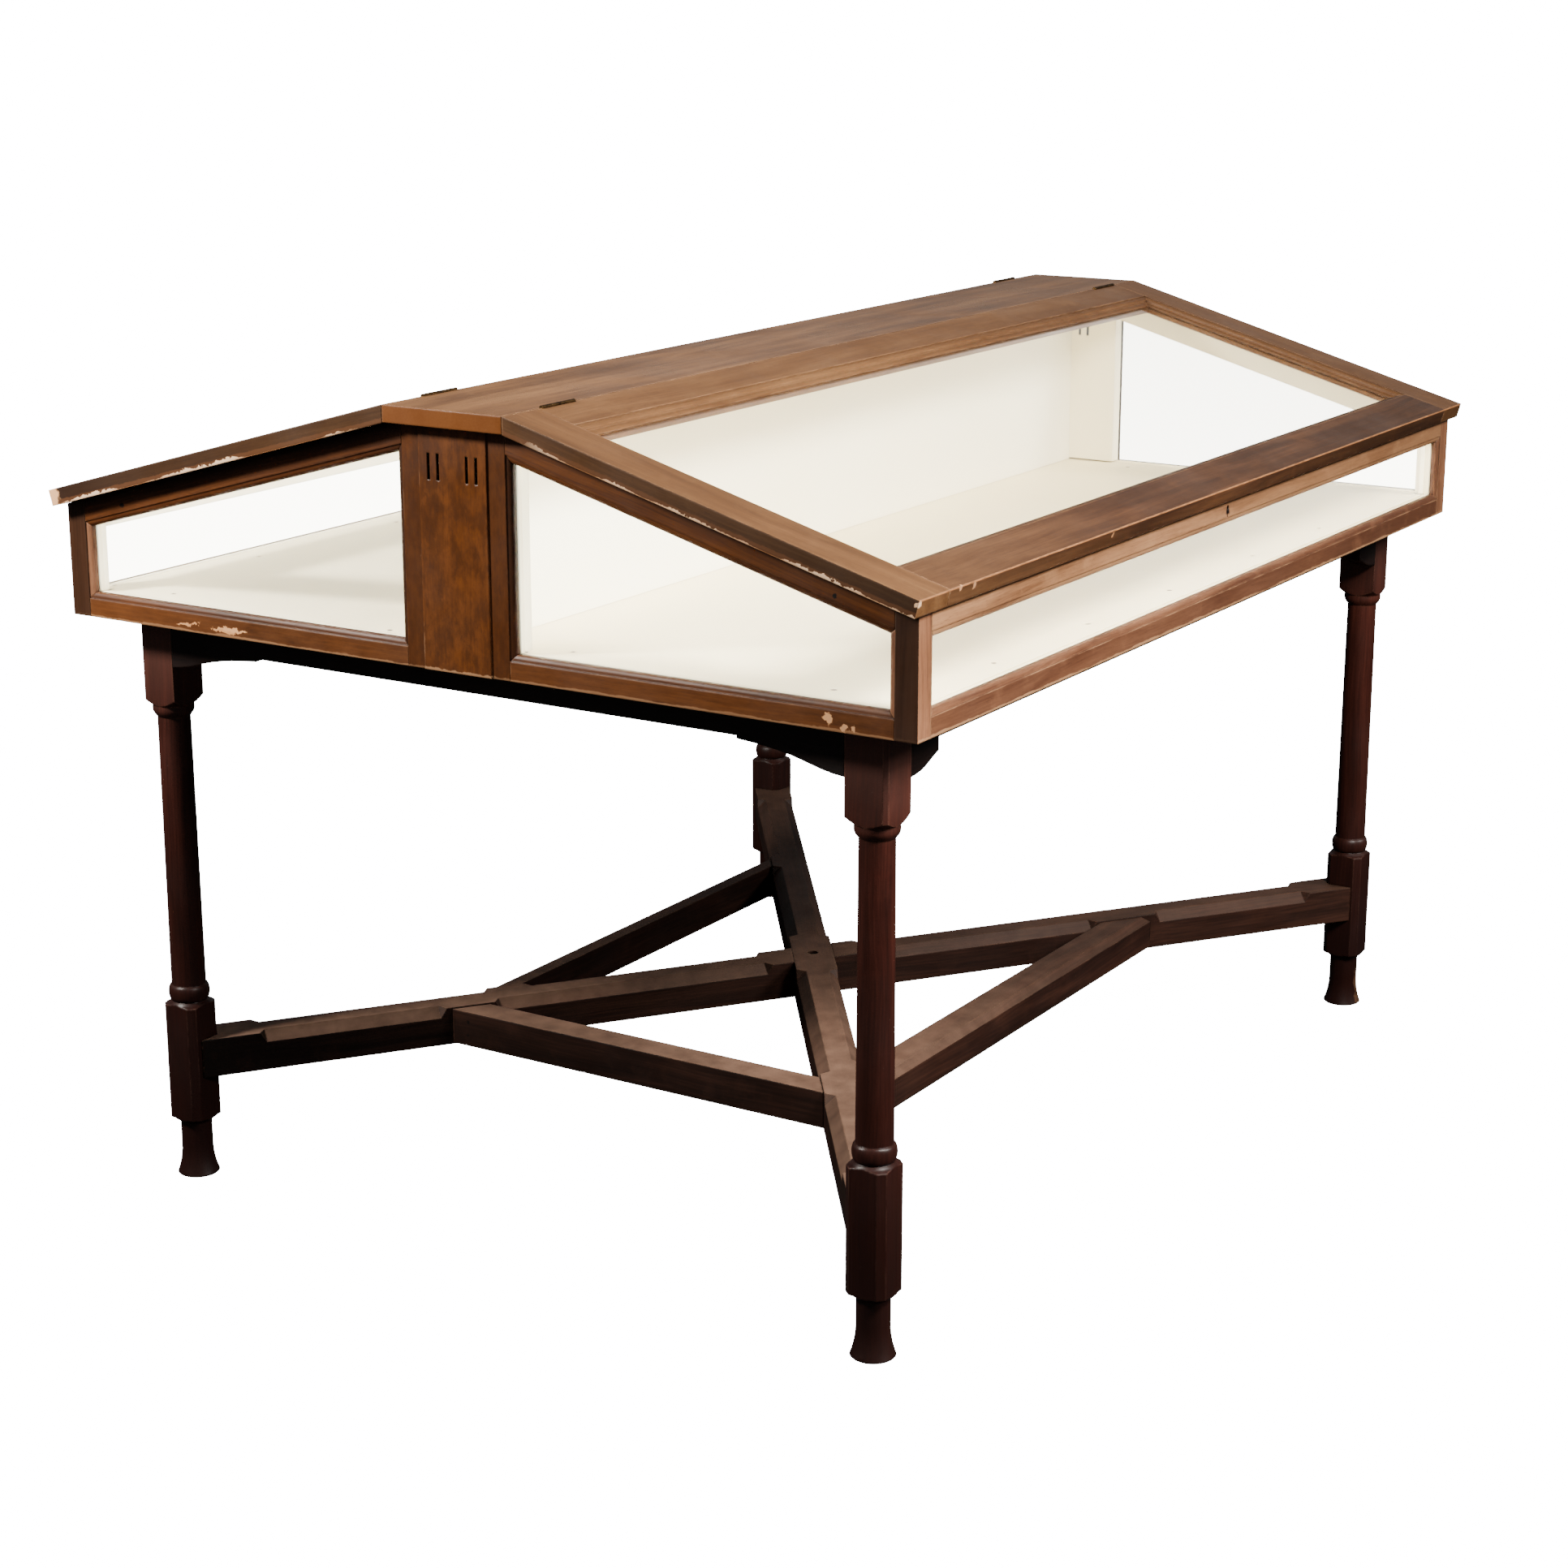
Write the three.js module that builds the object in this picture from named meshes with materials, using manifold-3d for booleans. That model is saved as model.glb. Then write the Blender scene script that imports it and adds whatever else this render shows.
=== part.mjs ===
// A two-sided display case with hinged glazed lids, standing on turned legs.
// Millimetres. X runs along the ridge, Y across the case, Z is up.
// The origin is on the floor under the middle of the case.
import * as THREE from 'three';
import { mergeVertices } from 'three/addons/utils/BufferGeometryUtils.js';
import Module from 'manifold-3d';

const wasm = await Module();
wasm.setup();

// Clearances
const fit = 0.3; // round a piece that is let into its neighbour or butts against it
const lidRest = 0.4; // from a closed lid down to the rails under it
const hingeGap = 0.8; // from a lid's hinge edge to the ridge board
const spill = 5; // how far a cutting tool runs past the wood

// Stand
const standHeight = 762;
const legInsetEnd = 73.5; // from the end of the case to the middle of a leg
const legInsetSide = 90.5; // from the long side of the case to the middle of a leg
const legSquare = 54;
const legBlockChamfer = 8.5; // on the upright edges of the lower block
const legTopChamfer = 5; // on the outermost edge of the upper block
const upperBlockBottom = 655;
const lowerBlockTop = 233;
const lowerBlockBottom = 92;
const columnTopRadius = 21;
const columnBottomRadius = 22.4;
const collarRadius = 28; // the quarter-round under the upper block
const collarTop = 641;
const collarBottom = 627;
const ringRadius = 26.6; // the bead over the lower block
const ringTop = 265;
const ringBottom = 244;
const neckRadius = 20.5;
const neckTop = 74;
const neckBottom = 42;
const footRadius = 27.5;
const footBottomRadius = 26;
const footWaist = 21; // height where the foot starts to spread
const apronHeight = 36;
const apronThick = 22;
// The shaped ends of the aprons: how far from the leg they reach and how far they hang down
// at the leg, at the tip, and at the two points in between that bend their edge
const endBracket = { reach: 140, rootDrop: 28, tipDrop: 3.5, bend: 48, rootBend: 24, tipBend: 10 };
const sideBracket = { reach: 62, rootDrop: 33, tipDrop: 16, bend: 34, rootBend: 31, tipBend: 25 };

// Diagonal stretchers and the bars between them
const stretcherWidth = 58;
const stretcherBottom = 140;
const stretcherTop = 192;
const stretcherChamfer = 13.5;
const chamferRunOut = 9; // length over which a stopped chamfer dies away
const chamferStopAtCrossing = 72;
const chamferStopAtLeg = 84; // from the leg's centre
const chamferStopAtBar = 7;
const barBottom = 142;
const barTop = 190;
const leftBar = { centre: 433.5, width: 43 };
const frontBar = { centre: 310, width: 48 };
const rearBar = { centre: 286, width: 22 };
const frontBarChamfer = 9;
const screwShank = 4;
const screwHead = 7;
const screwHeadDeep = 5;
const screwSink = 3; // from the top of the stretcher down to the screw head
const screwLength = 46;

// Case frame
const caseLength = 1586;
const caseDepth = 1221;
const postSquare = 28.5; // corner posts, and the thickness of every rail
const bottomRailHeight = 23.5; // plain face, under its moulding
const topRailBottom = 117.3; // from the bottom of the case to the plain face of a long top rail
const gableRailHeight = 27.5; // plain face, square to its slope
const gablePostWidth = 148;
const gablePostThick = 34;
const gableLap = 16; // from the face to the rail that passes behind a gable post
const panelWidth = 96.8; // the raised panel on a gable post
const panelProud = 2;
const slotPairPitch = 54.9; // between the middles of the two pairs of air slots near its top
const slotBetween = 9.6; // of wood between the two slots of a pair
const slotWidth = 3.8;
const slotHeight = 31;
const slotDrop = 33; // from the ridge board down to the slots
const mouldWide = 8; // the quarter-round moulding round each pane
const mouldDeep = 6;
const mouldQuirk = 1.2;
const paneThick = 3;
const paneDeep = 10; // from the face of the frame to the glass
const paneLap = 5; // of glass held inside its groove
const baseEdgeThick = 21.7; // of the base board where it is let into the rails
const baseBoardSink = 2; // from the lower edge of the panes down to the board
const baseLedge = 10; // width of the ledge that carries the board's edge
const partitionThick = 15;

// Lids and ridge board
const lidSlope = THREE.MathUtils.degToRad(15.56);
const lidThick = 20.5;
const eaveHeight = 160; // upper edge of a lid over the bottom of the case
const eaveOverhang = 11.5;
const endOverhang = 19.8;
const ridgeWidth = 170;
const ridgeThick = 20.5;
const lidStileWidth = 68; // plain faces, beside the lid's inner moulding
const lidHingeRailWidth = 53;
const lidFrontRailWidth = 64.4;
const lidMouldStep = 1.5;
const lidMouldBand = 7; // width of each of its two rounds
const lidMouldFillet = 1;
const lidMouldFlat = 4; // the flat beside the glass
const lidPaneDeep = 11;
const lidPaneLap = 6;

// Hinges
const hingeInset = 106.8; // from the end of a lid to the middle of a hinge
const hingeLength = 64;
const leafHeight = 17;
const leafThick = 1.8;
const knuckleRadius = 2.6;
const pinRadius = 1.3;
const pinPlay = 0.15;
const endKnuckle = 18;

// Locks
const lockLength = 68;
const lockDepth = 16;
const lockBottom = 118; // from the bottom of the case
const lockTopGap = 0.5;
const boltSize = 3;
const boltLength = 20;
const boltTravel = 7;
const stapleAt = 18; // from the keyhole to the staple
const stapleThick = 3;
const stapleWide = 7;
const stapleEye = 4.4;
const stapleReach = 13.5;
const stapleEyeDrop = 8; // from the lid to the middle of the eye
const staplePlateLength = 40;
const staplePlateThick = 1.8;
const stapleSlotPlay = 1.2;
const keyholeHeight = 130; // middle of its round end over the bottom of the case
const keyholeRadius = 3.5;
const keyholeSlot = 3.5;
const keyholeDrop = 12;
const keyRoomDeep = 6;

// Worked out from the sizes above
const halfLength = caseLength / 2;
const halfDepth = caseDepth / 2;
const eaveY = halfDepth + eaveOverhang;
const eaveZ = standHeight + eaveHeight;
const axisY = ridgeWidth / 2 + hingeGap / 2;
const slopeRise = Math.tan(lidSlope);
const slopeLength = 1 / Math.cos(lidSlope);
const ridgeTop = eaveZ + (eaveY - axisY) * slopeRise;
const ridgeUnder = ridgeTop - ridgeThick;
const lidHalfLength = halfLength + endOverhang;
const lidReach = (eaveY - axisY) * slopeLength;
const lidUnderDrop = lidThick * slopeLength;
const bottomArris = standHeight + bottomRailHeight;
const gablePostHalf = gablePostWidth / 2;
const legX = halfLength - legInsetEnd;
const legY = halfDepth - legInsetSide;
const diagonal = Math.hypot(legX, legY);
const diagonalTurn = Math.atan2(legY, legX);
const boardTop = bottomArris + mouldWide - baseBoardSink;
const boardBottom = boardTop - baseEdgeThick;

const quarterTurn = Math.PI / 2;

// Height of a lid's underside at a distance y from the middle of the case
const lidUnder = (y) => eaveZ + (eaveY - y) * slopeRise - lidUnderDrop;

// Materials
const wood = (name, color, roughness) => new THREE.MeshStandardMaterial({
  name, color, roughness, metalness: 0, flatShading: true,
});
const caseWood = wood('case_wood', 0x8a5a3a, 0.45);
const gableWood = wood('gable_wood', 0x6a3f22, 0.5);
const standWood = wood('stand_wood', 0x3a221e, 0.5);
const stretcherWood = wood('stretcher_wood', 0x5a4438, 0.6);
const whitePaint = wood('white_paint', 0xf0ede2, 0.6);
const metal = (name, color, roughness) => new THREE.MeshStandardMaterial({
  name, color, roughness, metalness: 1, flatShading: true,
});
const brass = metal('brass', 0xa98a4c, 0.4);
const iron = metal('iron', 0x3c3a38, 0.55);
const glass = new THREE.MeshStandardMaterial({
  name: 'glass', color: 0xe6f0ec, roughness: 0.05, metalness: 0, transparent: true, opacity: 0.3,
});

// Solids: a closed mesh in, joined and cut, and a mesh out again
function solid(geometry) {
  const bare = geometry.clone();
  bare.deleteAttribute('normal');
  bare.deleteAttribute('uv');
  const merged = mergeVertices(bare, 1e-4);
  const corners = merged.index.array;
  const triangles = [];
  for (let i = 0; i < corners.length; i += 3) {
    const [a, b, c] = corners.slice(i, i + 3);
    if (a !== b && b !== c && c !== a) triangles.push(a, b, c);
  }
  return new wasm.Manifold(new wasm.Mesh({
    numProp: 3,
    vertProperties: new Float32Array(merged.attributes.position.array),
    triVerts: new Uint32Array(triangles),
  }));
}

function geometryOf(body) {
  const { vertProperties, triVerts } = body.getMesh();
  const geometry = new THREE.BufferGeometry();
  geometry.setAttribute('position', new THREE.BufferAttribute(vertProperties, 3));
  geometry.setIndex(new THREE.BufferAttribute(triVerts, 1));
  geometry.computeVertexNormals();
  return geometry;
}

function add(group, name, body, material) {
  const mesh = new THREE.Mesh(geometryOf(body), material);
  mesh.name = name;
  group.add(mesh);
  return mesh;
}

const join = (bodies) => bodies.reduce((whole, body) => whole.add(body));
const cut = (body, tools) => tools.reduce((rest, tool) => rest.subtract(tool), body);

// An outline of [x, y] points carried along z from one height to another
function prism(points, from, to) {
  const shape = new THREE.Shape(points.map(([x, y]) => new THREE.Vector2(x, y)));
  const geometry = new THREE.ExtrudeGeometry(shape, { depth: to - from, bevelEnabled: false });
  return geometry.translate(0, 0, from);
}

const box = (x0, x1, y0, y1, z0, z1) => prism([[x0, y0], [x1, y0], [x1, y1], [x0, y1]], z0, z1);

// An outline in [y, z] carried along x
function alongX(points, from, to) {
  const axes = new THREE.Matrix4().makeBasis(
    new THREE.Vector3(0, 1, 0), new THREE.Vector3(0, 0, 1), new THREE.Vector3(1, 0, 0));
  return prism(points, from, to).applyMatrix4(axes);
}

// A round bar along x
function rodX(radius, from, to, sides) {
  const geometry = new THREE.CylinderGeometry(radius, radius, to - from, sides);
  return geometry.rotateZ(quarterTurn).translate((from + to) / 2, 0, 0);
}

// A plate behind a face: the face lies at z = 0 and depth is counted back from it
const plate = (points, front, back) => prism(points, -back, -front);

// A body through a list of rings with the same number of points
function loft(rings) {
  const count = rings[0].length;
  const positions = rings.flat(2);
  const index = [];
  for (let ring = 0; ring + 1 < rings.length; ring += 1) {
    for (let i = 0; i < count; i += 1) {
      const a = ring * count + i;
      const b = ring * count + (i + 1) % count;
      index.push(a, b, a + count, b, b + count, a + count);
    }
  }
  const last = (rings.length - 1) * count;
  for (let i = 1; i + 1 < count; i += 1) {
    index.push(0, i + 1, i);
    index.push(last, last + i, last + i + 1);
  }
  const geometry = new THREE.BufferGeometry();
  geometry.setAttribute('position', new THREE.Float32BufferAttribute(positions, 3));
  geometry.setIndex(index);
  return geometry;
}

// Faces of the case and of the stand. Seen from outside, x is to the right, y is up and
// z comes out of the face. Turn 0 is the front, a half turn the rear, a quarter turn an end.
function faceMatrix(turn, distance) {
  return new THREE.Matrix4().makeRotationZ(turn)
    .multiply(new THREE.Matrix4().makeTranslation(0, -distance, 0))
    .multiply(new THREE.Matrix4().makeRotationX(quarterTurn));
}

function faceGroup(turn, distance) {
  const group = new THREE.Group();
  group.applyMatrix4(faceMatrix(turn, distance));
  return group;
}

// A pane's frame: the sight line, where the wood ends on the glass, runs anticlockwise, and
// the arris, where the plain face of the wood ends, lies one moulding width outside it.
function outset(points, distance) {
  return points.map((point, i) => {
    const before = points[(i + points.length - 1) % points.length];
    const after = points[(i + 1) % points.length];
    const sideIn = new THREE.Vector2(point[1] - before[1], before[0] - point[0]).normalize();
    const sideOut = new THREE.Vector2(after[1] - point[1], point[0] - after[0]).normalize();
    const scale = distance / (1 + sideIn.dot(sideOut));
    return [point[0] + (sideIn.x + sideOut.x) * scale, point[1] + (sideIn.y + sideOut.y) * scale];
  });
}

// Angles from one to another in equal steps, with both ends
const angles = (from, to, pieces) => Array.from(
  { length: pieces + 1 }, (_, i) => from + (to - from) * i / pieces);

// A quarter-round as [distance from the sight line, depth] points
function quarterRound(outer, depth, wide, deep) {
  return angles(0, quarterTurn, 4).map((angle) => [
    outer - wide * Math.sin(angle), depth + deep * (1 - Math.cos(angle)),
  ]);
}

const caseMould = [
  [mouldWide, 0],
  [mouldWide, mouldQuirk],
  ...quarterRound(mouldWide - mouldQuirk, mouldQuirk, mouldWide - mouldQuirk, mouldDeep - mouldQuirk),
];
const lidMouldWide = lidMouldFlat + 2 * lidMouldBand + 2 * lidMouldFillet;
const lidRoundDeep = (lidPaneDeep - lidMouldStep - lidMouldFillet) / 2;
const lidMould = [
  [lidMouldWide, 0],
  [lidMouldWide, lidMouldStep],
  ...quarterRound(lidMouldWide - lidMouldFillet, lidMouldStep, lidMouldBand, lidRoundDeep),
  ...quarterRound(lidMouldFlat + lidMouldBand, lidMouldStep + lidRoundDeep + lidMouldFillet,
    lidMouldBand, lidRoundDeep),
  [0, lidPaneDeep],
];

function paneFrame(sight, mould, lap, deep) {
  const wide = mould[0][0];
  return { sight, arris: outset(sight, wide), mould, lap, deep };
}

// The corners where one side of a pane starts and ends, anticlockwise
function sideEnds(side) {
  const order = ['bottom', 'right', 'top', 'left'];
  const start = order.indexOf(side);
  return [start, (start + 1) % order.length];
}

// The wood to take away in front of the moulding along one side of a pane
function mouldTool(frame, side) {
  const [start, end] = sideEnds(side);
  const [sx, sy] = frame.sight[start];
  const [ex, ey] = frame.sight[end];
  const along = new THREE.Vector3(ex - sx, ey - sy, 0).normalize();
  const outward = new THREE.Vector3(along.y, -along.x, 0);
  const run = frame.mould[0][0] + spill;
  const section = frame.mould.map(([out, deep]) => [out, -deep]);
  const last = section[section.length - 1];
  section.push([-spill, last[1]], [-spill, spill], [frame.mould[0][0], spill]);
  const length = Math.hypot(ex - sx, ey - sy) + 2 * run;
  const origin = new THREE.Vector3(ex, ey, 0).addScaledVector(along, run);
  const axes = new THREE.Matrix4()
    .makeBasis(outward, new THREE.Vector3(0, 0, 1), along.clone().negate()).setPosition(origin);
  return prism(section, 0, length).applyMatrix4(axes);
}

const pane = (frame) => plate(outset(frame.sight, frame.lap), frame.deep, frame.deep + paneThick);
const paneTool = (frame) => plate(outset(frame.sight, frame.lap + fit), frame.deep - fit,
  frame.deep + paneThick + fit);

// The outline of a rail along one side of a pane: its moulding is mitred at both ends, and
// its plain part runs out to the points of its outer edge, listed back from end to start
function railOutline(frame, side, outer) {
  const [start, end] = sideEnds(side);
  const [sx, sy] = frame.sight[start];
  const [ex, ey] = frame.sight[end];
  const step = new THREE.Vector2(ex - sx, ey - sy).setLength(fit);
  const move = ([x, y], sign) => [x + sign * step.x, y + sign * step.y];
  return [
    move(frame.arris[start], 1), move(frame.sight[start], 1),
    move(frame.sight[end], -1), move(frame.arris[end], -1),
    ...outer,
  ];
}

// The outline of a post beside a pane, from its moulding's mitres to its outer edge
function postEdge(frame, side) {
  const [start, end] = sideEnds(side);
  return [frame.arris[start], frame.sight[start], frame.sight[end], frame.arris[end]];
}

// Panes of the case
const longFrame = paneFrame([
  [-halfLength + postSquare + mouldWide, bottomArris + mouldWide],
  [halfLength - postSquare - mouldWide, bottomArris + mouldWide],
  [halfLength - postSquare - mouldWide, standHeight + topRailBottom - mouldWide],
  [-halfLength + postSquare + mouldWide, standHeight + topRailBottom - mouldWide],
], caseMould, paneLap, paneDeep);

// Half a gable, on the right of the middle post for side 1 and on its left for side -1
const gableSight = (y) => lidUnder(y) - (gableRailHeight + mouldWide) * slopeLength;
function gableFrame(side) {
  const inner = gablePostHalf + mouldWide;
  const outer = halfDepth - postSquare - mouldWide;
  const low = bottomArris + mouldWide;
  const corners = side > 0
    ? [[inner, low], [outer, low], [outer, gableSight(outer)], [inner, gableSight(inner)]]
    : [[-outer, low], [-inner, low], [-inner, gableSight(inner)], [-outer, gableSight(outer)]];
  return paneFrame(corners, caseMould, paneLap, paneDeep);
}
const outerSide = (side) => (side > 0 ? 'right' : 'left');
const innerSide = (side) => outerSide(-side);

// Everything over the rails that a closed front lid covers, in the frame of the case
function lidSpace(gap) {
  const top = ridgeTop + lidThick;
  const low = lidUnder(eaveY + spill) - gap;
  const high = lidUnder(0) - gap;
  return alongX([[-eaveY - spill, low], [0, high], [0, top], [-eaveY - spill, top]],
    -lidHalfLength, lidHalfLength);
}
const toLongFace = () => faceMatrix(0, halfDepth).invert();

// Stand
function turnedLeg() {
  const clear = legSquare; // wider than the square's corners
  const ringMiddle = (ringBottom + ringTop) / 2;
  const ring = angles(0, Math.PI, 6).map((angle) => [
    columnBottomRadius + (ringRadius - columnBottomRadius) * Math.sin(angle),
    ringMiddle - (ringTop - ringBottom) / 2 * Math.cos(angle),
  ]);
  const collar = angles(0, quarterTurn, 4).map((angle) => [
    columnTopRadius + (collarRadius - columnTopRadius) * Math.sin(angle),
    collarBottom + (collarTop - collarBottom) * (1 - Math.cos(angle)),
  ]);
  const footEdge = footRadius - footBottomRadius;
  const foot = angles(0, quarterTurn, 4).map((angle) => [
    footRadius - (footRadius - neckRadius) * Math.sin(angle),
    neckBottom - (neckBottom - footEdge) * Math.cos(angle),
  ]).filter(([, z]) => z < footWaist || z >= neckBottom);
  const outline = [
    [0, 0], [footBottomRadius, 0], ...foot, [neckRadius, neckTop],
    [clear, lowerBlockBottom + (clear - legSquare / 2) / 2],
    [clear, lowerBlockTop - (clear - legSquare / 2) / 2],
    ...ring, ...collar,
    [clear, upperBlockBottom + (clear - collarRadius) / 2],
    [clear, standHeight + spill], [0, standHeight + spill],
  ];
  const turned = new THREE.LatheGeometry(outline.map(([r, z]) => new THREE.Vector2(r, z)), 24);
  const half = legSquare / 2;
  const middle = (lowerBlockTop + upperBlockBottom) / 2;
  const topArris = half - legTopChamfer;
  const upper = solid(prism([
    [half, -half], [half, topArris], [topArris, half], [-half, half], [-half, -half],
  ], middle, standHeight));
  const lower = solid(prism(blockOutline(0), 0, middle));
  return solid(turned.rotateX(quarterTurn)).intersect(upper.add(lower));
}

function blockOutline(grow) {
  const half = legSquare / 2 + grow;
  const inner = half - legBlockChamfer - grow * (Math.SQRT2 - 1);
  return [
    [half, -inner], [half, inner], [inner, half], [-inner, half],
    [-half, inner], [-half, -inner], [-inner, -half], [inner, -half],
  ];
}

// The lower edge of an apron from a leg to the tip of its bracket, as distances from the leg
// and below the apron
function bracketEdge({ reach, rootDrop, tipDrop, bend, rootBend, tipBend }) {
  const edge = new THREE.CubicBezierCurve(
    new THREE.Vector2(0, rootDrop), new THREE.Vector2(bend, rootBend),
    new THREE.Vector2(bend, tipBend), new THREE.Vector2(reach, tipDrop));
  return [...edge.getPoints(8).map((point) => [point.x, point.y]), [reach, 0]];
}

function apron(reach, shape) {
  const half = reach - legSquare / 2 - fit;
  const low = standHeight - apronHeight;
  const edge = bracketEdge(shape);
  const left = edge.map(([x, drop]) => [x - half, low - drop]);
  const right = edge.map(([x, drop]) => [half - x, low - drop]).reverse();
  const outline = [[half, standHeight], [-half, standHeight], ...left, ...right];
  return solid(plate(outline, 0, apronThick));
}

function stretcher(upperLap, barsOn) {
  const half = stretcherWidth / 2;
  const middle = (stretcherTop + stretcherBottom) / 2;
  const legTurn = upperLap ? -diagonalTurn : diagonalTurn;
  const tools = [-1, 1].map((end) => solid(
    prism(blockOutline(fit), stretcherBottom - spill, stretcherTop + spill)
      .rotateZ(legTurn).translate(end * diagonal, 0, 0)));
  // The other stretcher crosses at twice the turn of this one
  const lap = box(-diagonal, diagonal, -half - fit, half + fit,
    upperLap ? stretcherBottom - spill : middle - fit / 2,
    upperLap ? middle + fit / 2 : stretcherTop + spill);
  tools.push(solid(lap.rotateZ(2 * legTurn)));
  const legEnd = diagonal - chamferStopAtLeg;
  for (const end of [-1, 1]) {
    for (const side of [-1, 1]) {
      const bar = barsOn(end, side);
      const spans = bar
        ? [[chamferStopAtCrossing, bar[0] - chamferStopAtBar], [bar[1] + chamferStopAtBar, legEnd]]
        : [[chamferStopAtCrossing, legEnd]];
      for (const [from, to] of spans) tools.push(chamferTool(end * from, end * to, side));
    }
  }
  tools.push(solid(new THREE.CylinderGeometry(screwShank + fit, screwShank + fit,
    2 * stretcherTop, 16).rotateX(quarterTurn)));
  if (upperLap) {
    const sink = screwHeadDeep + screwSink;
    tools.push(solid(new THREE.CylinderGeometry(screwHead + fit, screwHead + fit, 2 * sink, 24)
      .rotateX(quarterTurn).translate(0, 0, stretcherTop)));
  }
  return cut(solid(box(-diagonal, diagonal, -half, half, stretcherBottom, stretcherTop)), tools);
}

// A stopped chamfer on the top edge of a stretcher, dying away at both ends: the tool's
// outer corner runs one clearance outside the edge, and its sides reach inwards from there
function chamferTool(from, to, side) {
  const start = Math.min(from, to);
  const end = Math.max(from, to);
  const y = side * (stretcherWidth / 2 + fit);
  const z = stretcherTop + fit;
  const ring = (x, reach) => {
    const points = [[x, y, z], [x, y - side * reach, z], [x, y, z - reach]];
    return side > 0 ? points : points.reverse();
  };
  const outside = fit / 2;
  const full = stretcherChamfer + 2 * fit;
  return solid(loft([
    ring(start, outside), ring(start + chamferRunOut, full),
    ring(end - chamferRunOut, full), ring(end, outside),
  ]));
}

// Where a bar meets the side of a stretcher, as distances along it from the crossing
function barSpanX({ centre, width }) {
  const middle = (centre - stretcherWidth / 2 * Math.cos(diagonalTurn)) / Math.sin(diagonalTurn);
  const half = width / 2 / Math.sin(diagonalTurn);
  return [middle - half, middle + half];
}

function barSpanY({ centre, width }) {
  const middle = (centre - stretcherWidth / 2 * Math.sin(diagonalTurn)) / Math.cos(diagonalTurn);
  const half = width / 2 / Math.cos(diagonalTurn);
  return [middle - half, middle + half];
}

const stretcherTools = () => [-1, 1].map((turn) => solid(box(-diagonal, diagonal,
  -stretcherWidth / 2 - fit, stretcherWidth / 2 + fit, stretcherBottom - spill, stretcherTop + spill)
  .rotateZ(turn * diagonalTurn)));

function barAlongX({ centre, width }, side, chamfer) {
  const end = centre / Math.tan(diagonalTurn);
  const outer = side * (centre + width / 2);
  const inner = side * (centre - width / 2);
  const section = [
    [outer, barBottom], [outer, barTop - chamfer], [outer - side * chamfer, barTop],
    [inner, barTop], [inner, barBottom],
  ];
  const plain = section.filter((_, i) => chamfer > 0 || i !== 2);
  return cut(solid(alongX(plain, -end, end)), stretcherTools());
}

function barAlongY({ centre, width }, side) {
  const end = centre * Math.tan(diagonalTurn);
  const bar = box(side * centre - width / 2, side * centre + width / 2, -end, end, barBottom, barTop);
  return cut(solid(bar), stretcherTools());
}

function makeStand(group) {
  const leg = turnedLeg();
  for (const [end, x] of [['left', -1], ['right', 1]]) {
    for (const [row, y] of [['front', -1], ['rear', 1]]) {
      const mesh = add(group, `leg_${row}_${end}`, leg, standWood);
      mesh.position.set(x * legX, y * legY, 0);
      mesh.rotation.z = Math.atan2(y, x) - quarterTurn / 2;
    }
  }
  const aprons = [
    ['front', 0, legX, legY, sideBracket], ['rear', Math.PI, legX, legY, sideBracket],
    ['left', -quarterTurn, legY, legX, endBracket], ['right', quarterTurn, legY, legX, endBracket],
  ];
  for (const [name, turn, reach, distance, shape] of aprons) {
    const face = faceGroup(turn, distance + legSquare / 2);
    add(face, `apron_${name}`, apron(reach, shape), standWood);
    group.add(face);
  }
}

function makeStretchers(group) {
  const frontSpan = barSpanX(frontBar);
  const rearSpan = barSpanX(rearBar);
  const leftSpan = barSpanY(leftBar);
  const overBars = (end, side) => (end < 0 ? (side > 0 ? leftSpan : frontSpan) : side > 0 && rearSpan);
  const underBars = (end, side) => (end < 0 ? (side > 0 ? rearSpan : leftSpan) : side < 0 && frontSpan);
  const over = add(group, 'stretcher_over', stretcher(true, overBars), stretcherWood);
  over.rotation.z = diagonalTurn;
  const under = add(group, 'stretcher_under', stretcher(false, underBars), stretcherWood);
  under.rotation.z = -diagonalTurn;
  add(group, 'bar_front', barAlongX(frontBar, -1, frontBarChamfer), stretcherWood);
  add(group, 'bar_rear', barAlongX(rearBar, 1, 0), stretcherWood);
  add(group, 'bar_left', barAlongY(leftBar, -1), stretcherWood);
  const headTop = stretcherTop - screwSink;
  const headBottom = headTop - screwHeadDeep;
  const outline = [
    [0, headTop - screwLength], [screwShank, headTop - screwLength + screwShank],
    [screwShank, headBottom], [screwHead, headBottom], [screwHead, headTop], [0, headTop],
  ].map(([r, z]) => new THREE.Vector2(r, z));
  add(group, 'crossing_screw', solid(new THREE.LatheGeometry(outline, 16).rotateX(quarterTurn)), iron);
}

// Case
// A bottom rail before its ledge is cut
function bottomRailBody(frame, from, to) {
  const outline = railOutline(frame, 'bottom', [[to - fit, standHeight], [from + fit, standHeight]]);
  return cut(solid(plate(outline, 0, postSquare)), [
    solid(mouldTool(frame, 'bottom')), solid(paneTool(frame)),
  ]);
}

const ledge = (half) => solid(box(-half, half, boardBottom, boardTop + 2 * mouldWide,
  -postSquare - spill, -postSquare + baseLedge));

function longBottomRail() {
  const end = halfLength - postSquare;
  return bottomRailBody(longFrame, -end, end).subtract(ledge(halfLength));
}

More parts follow.
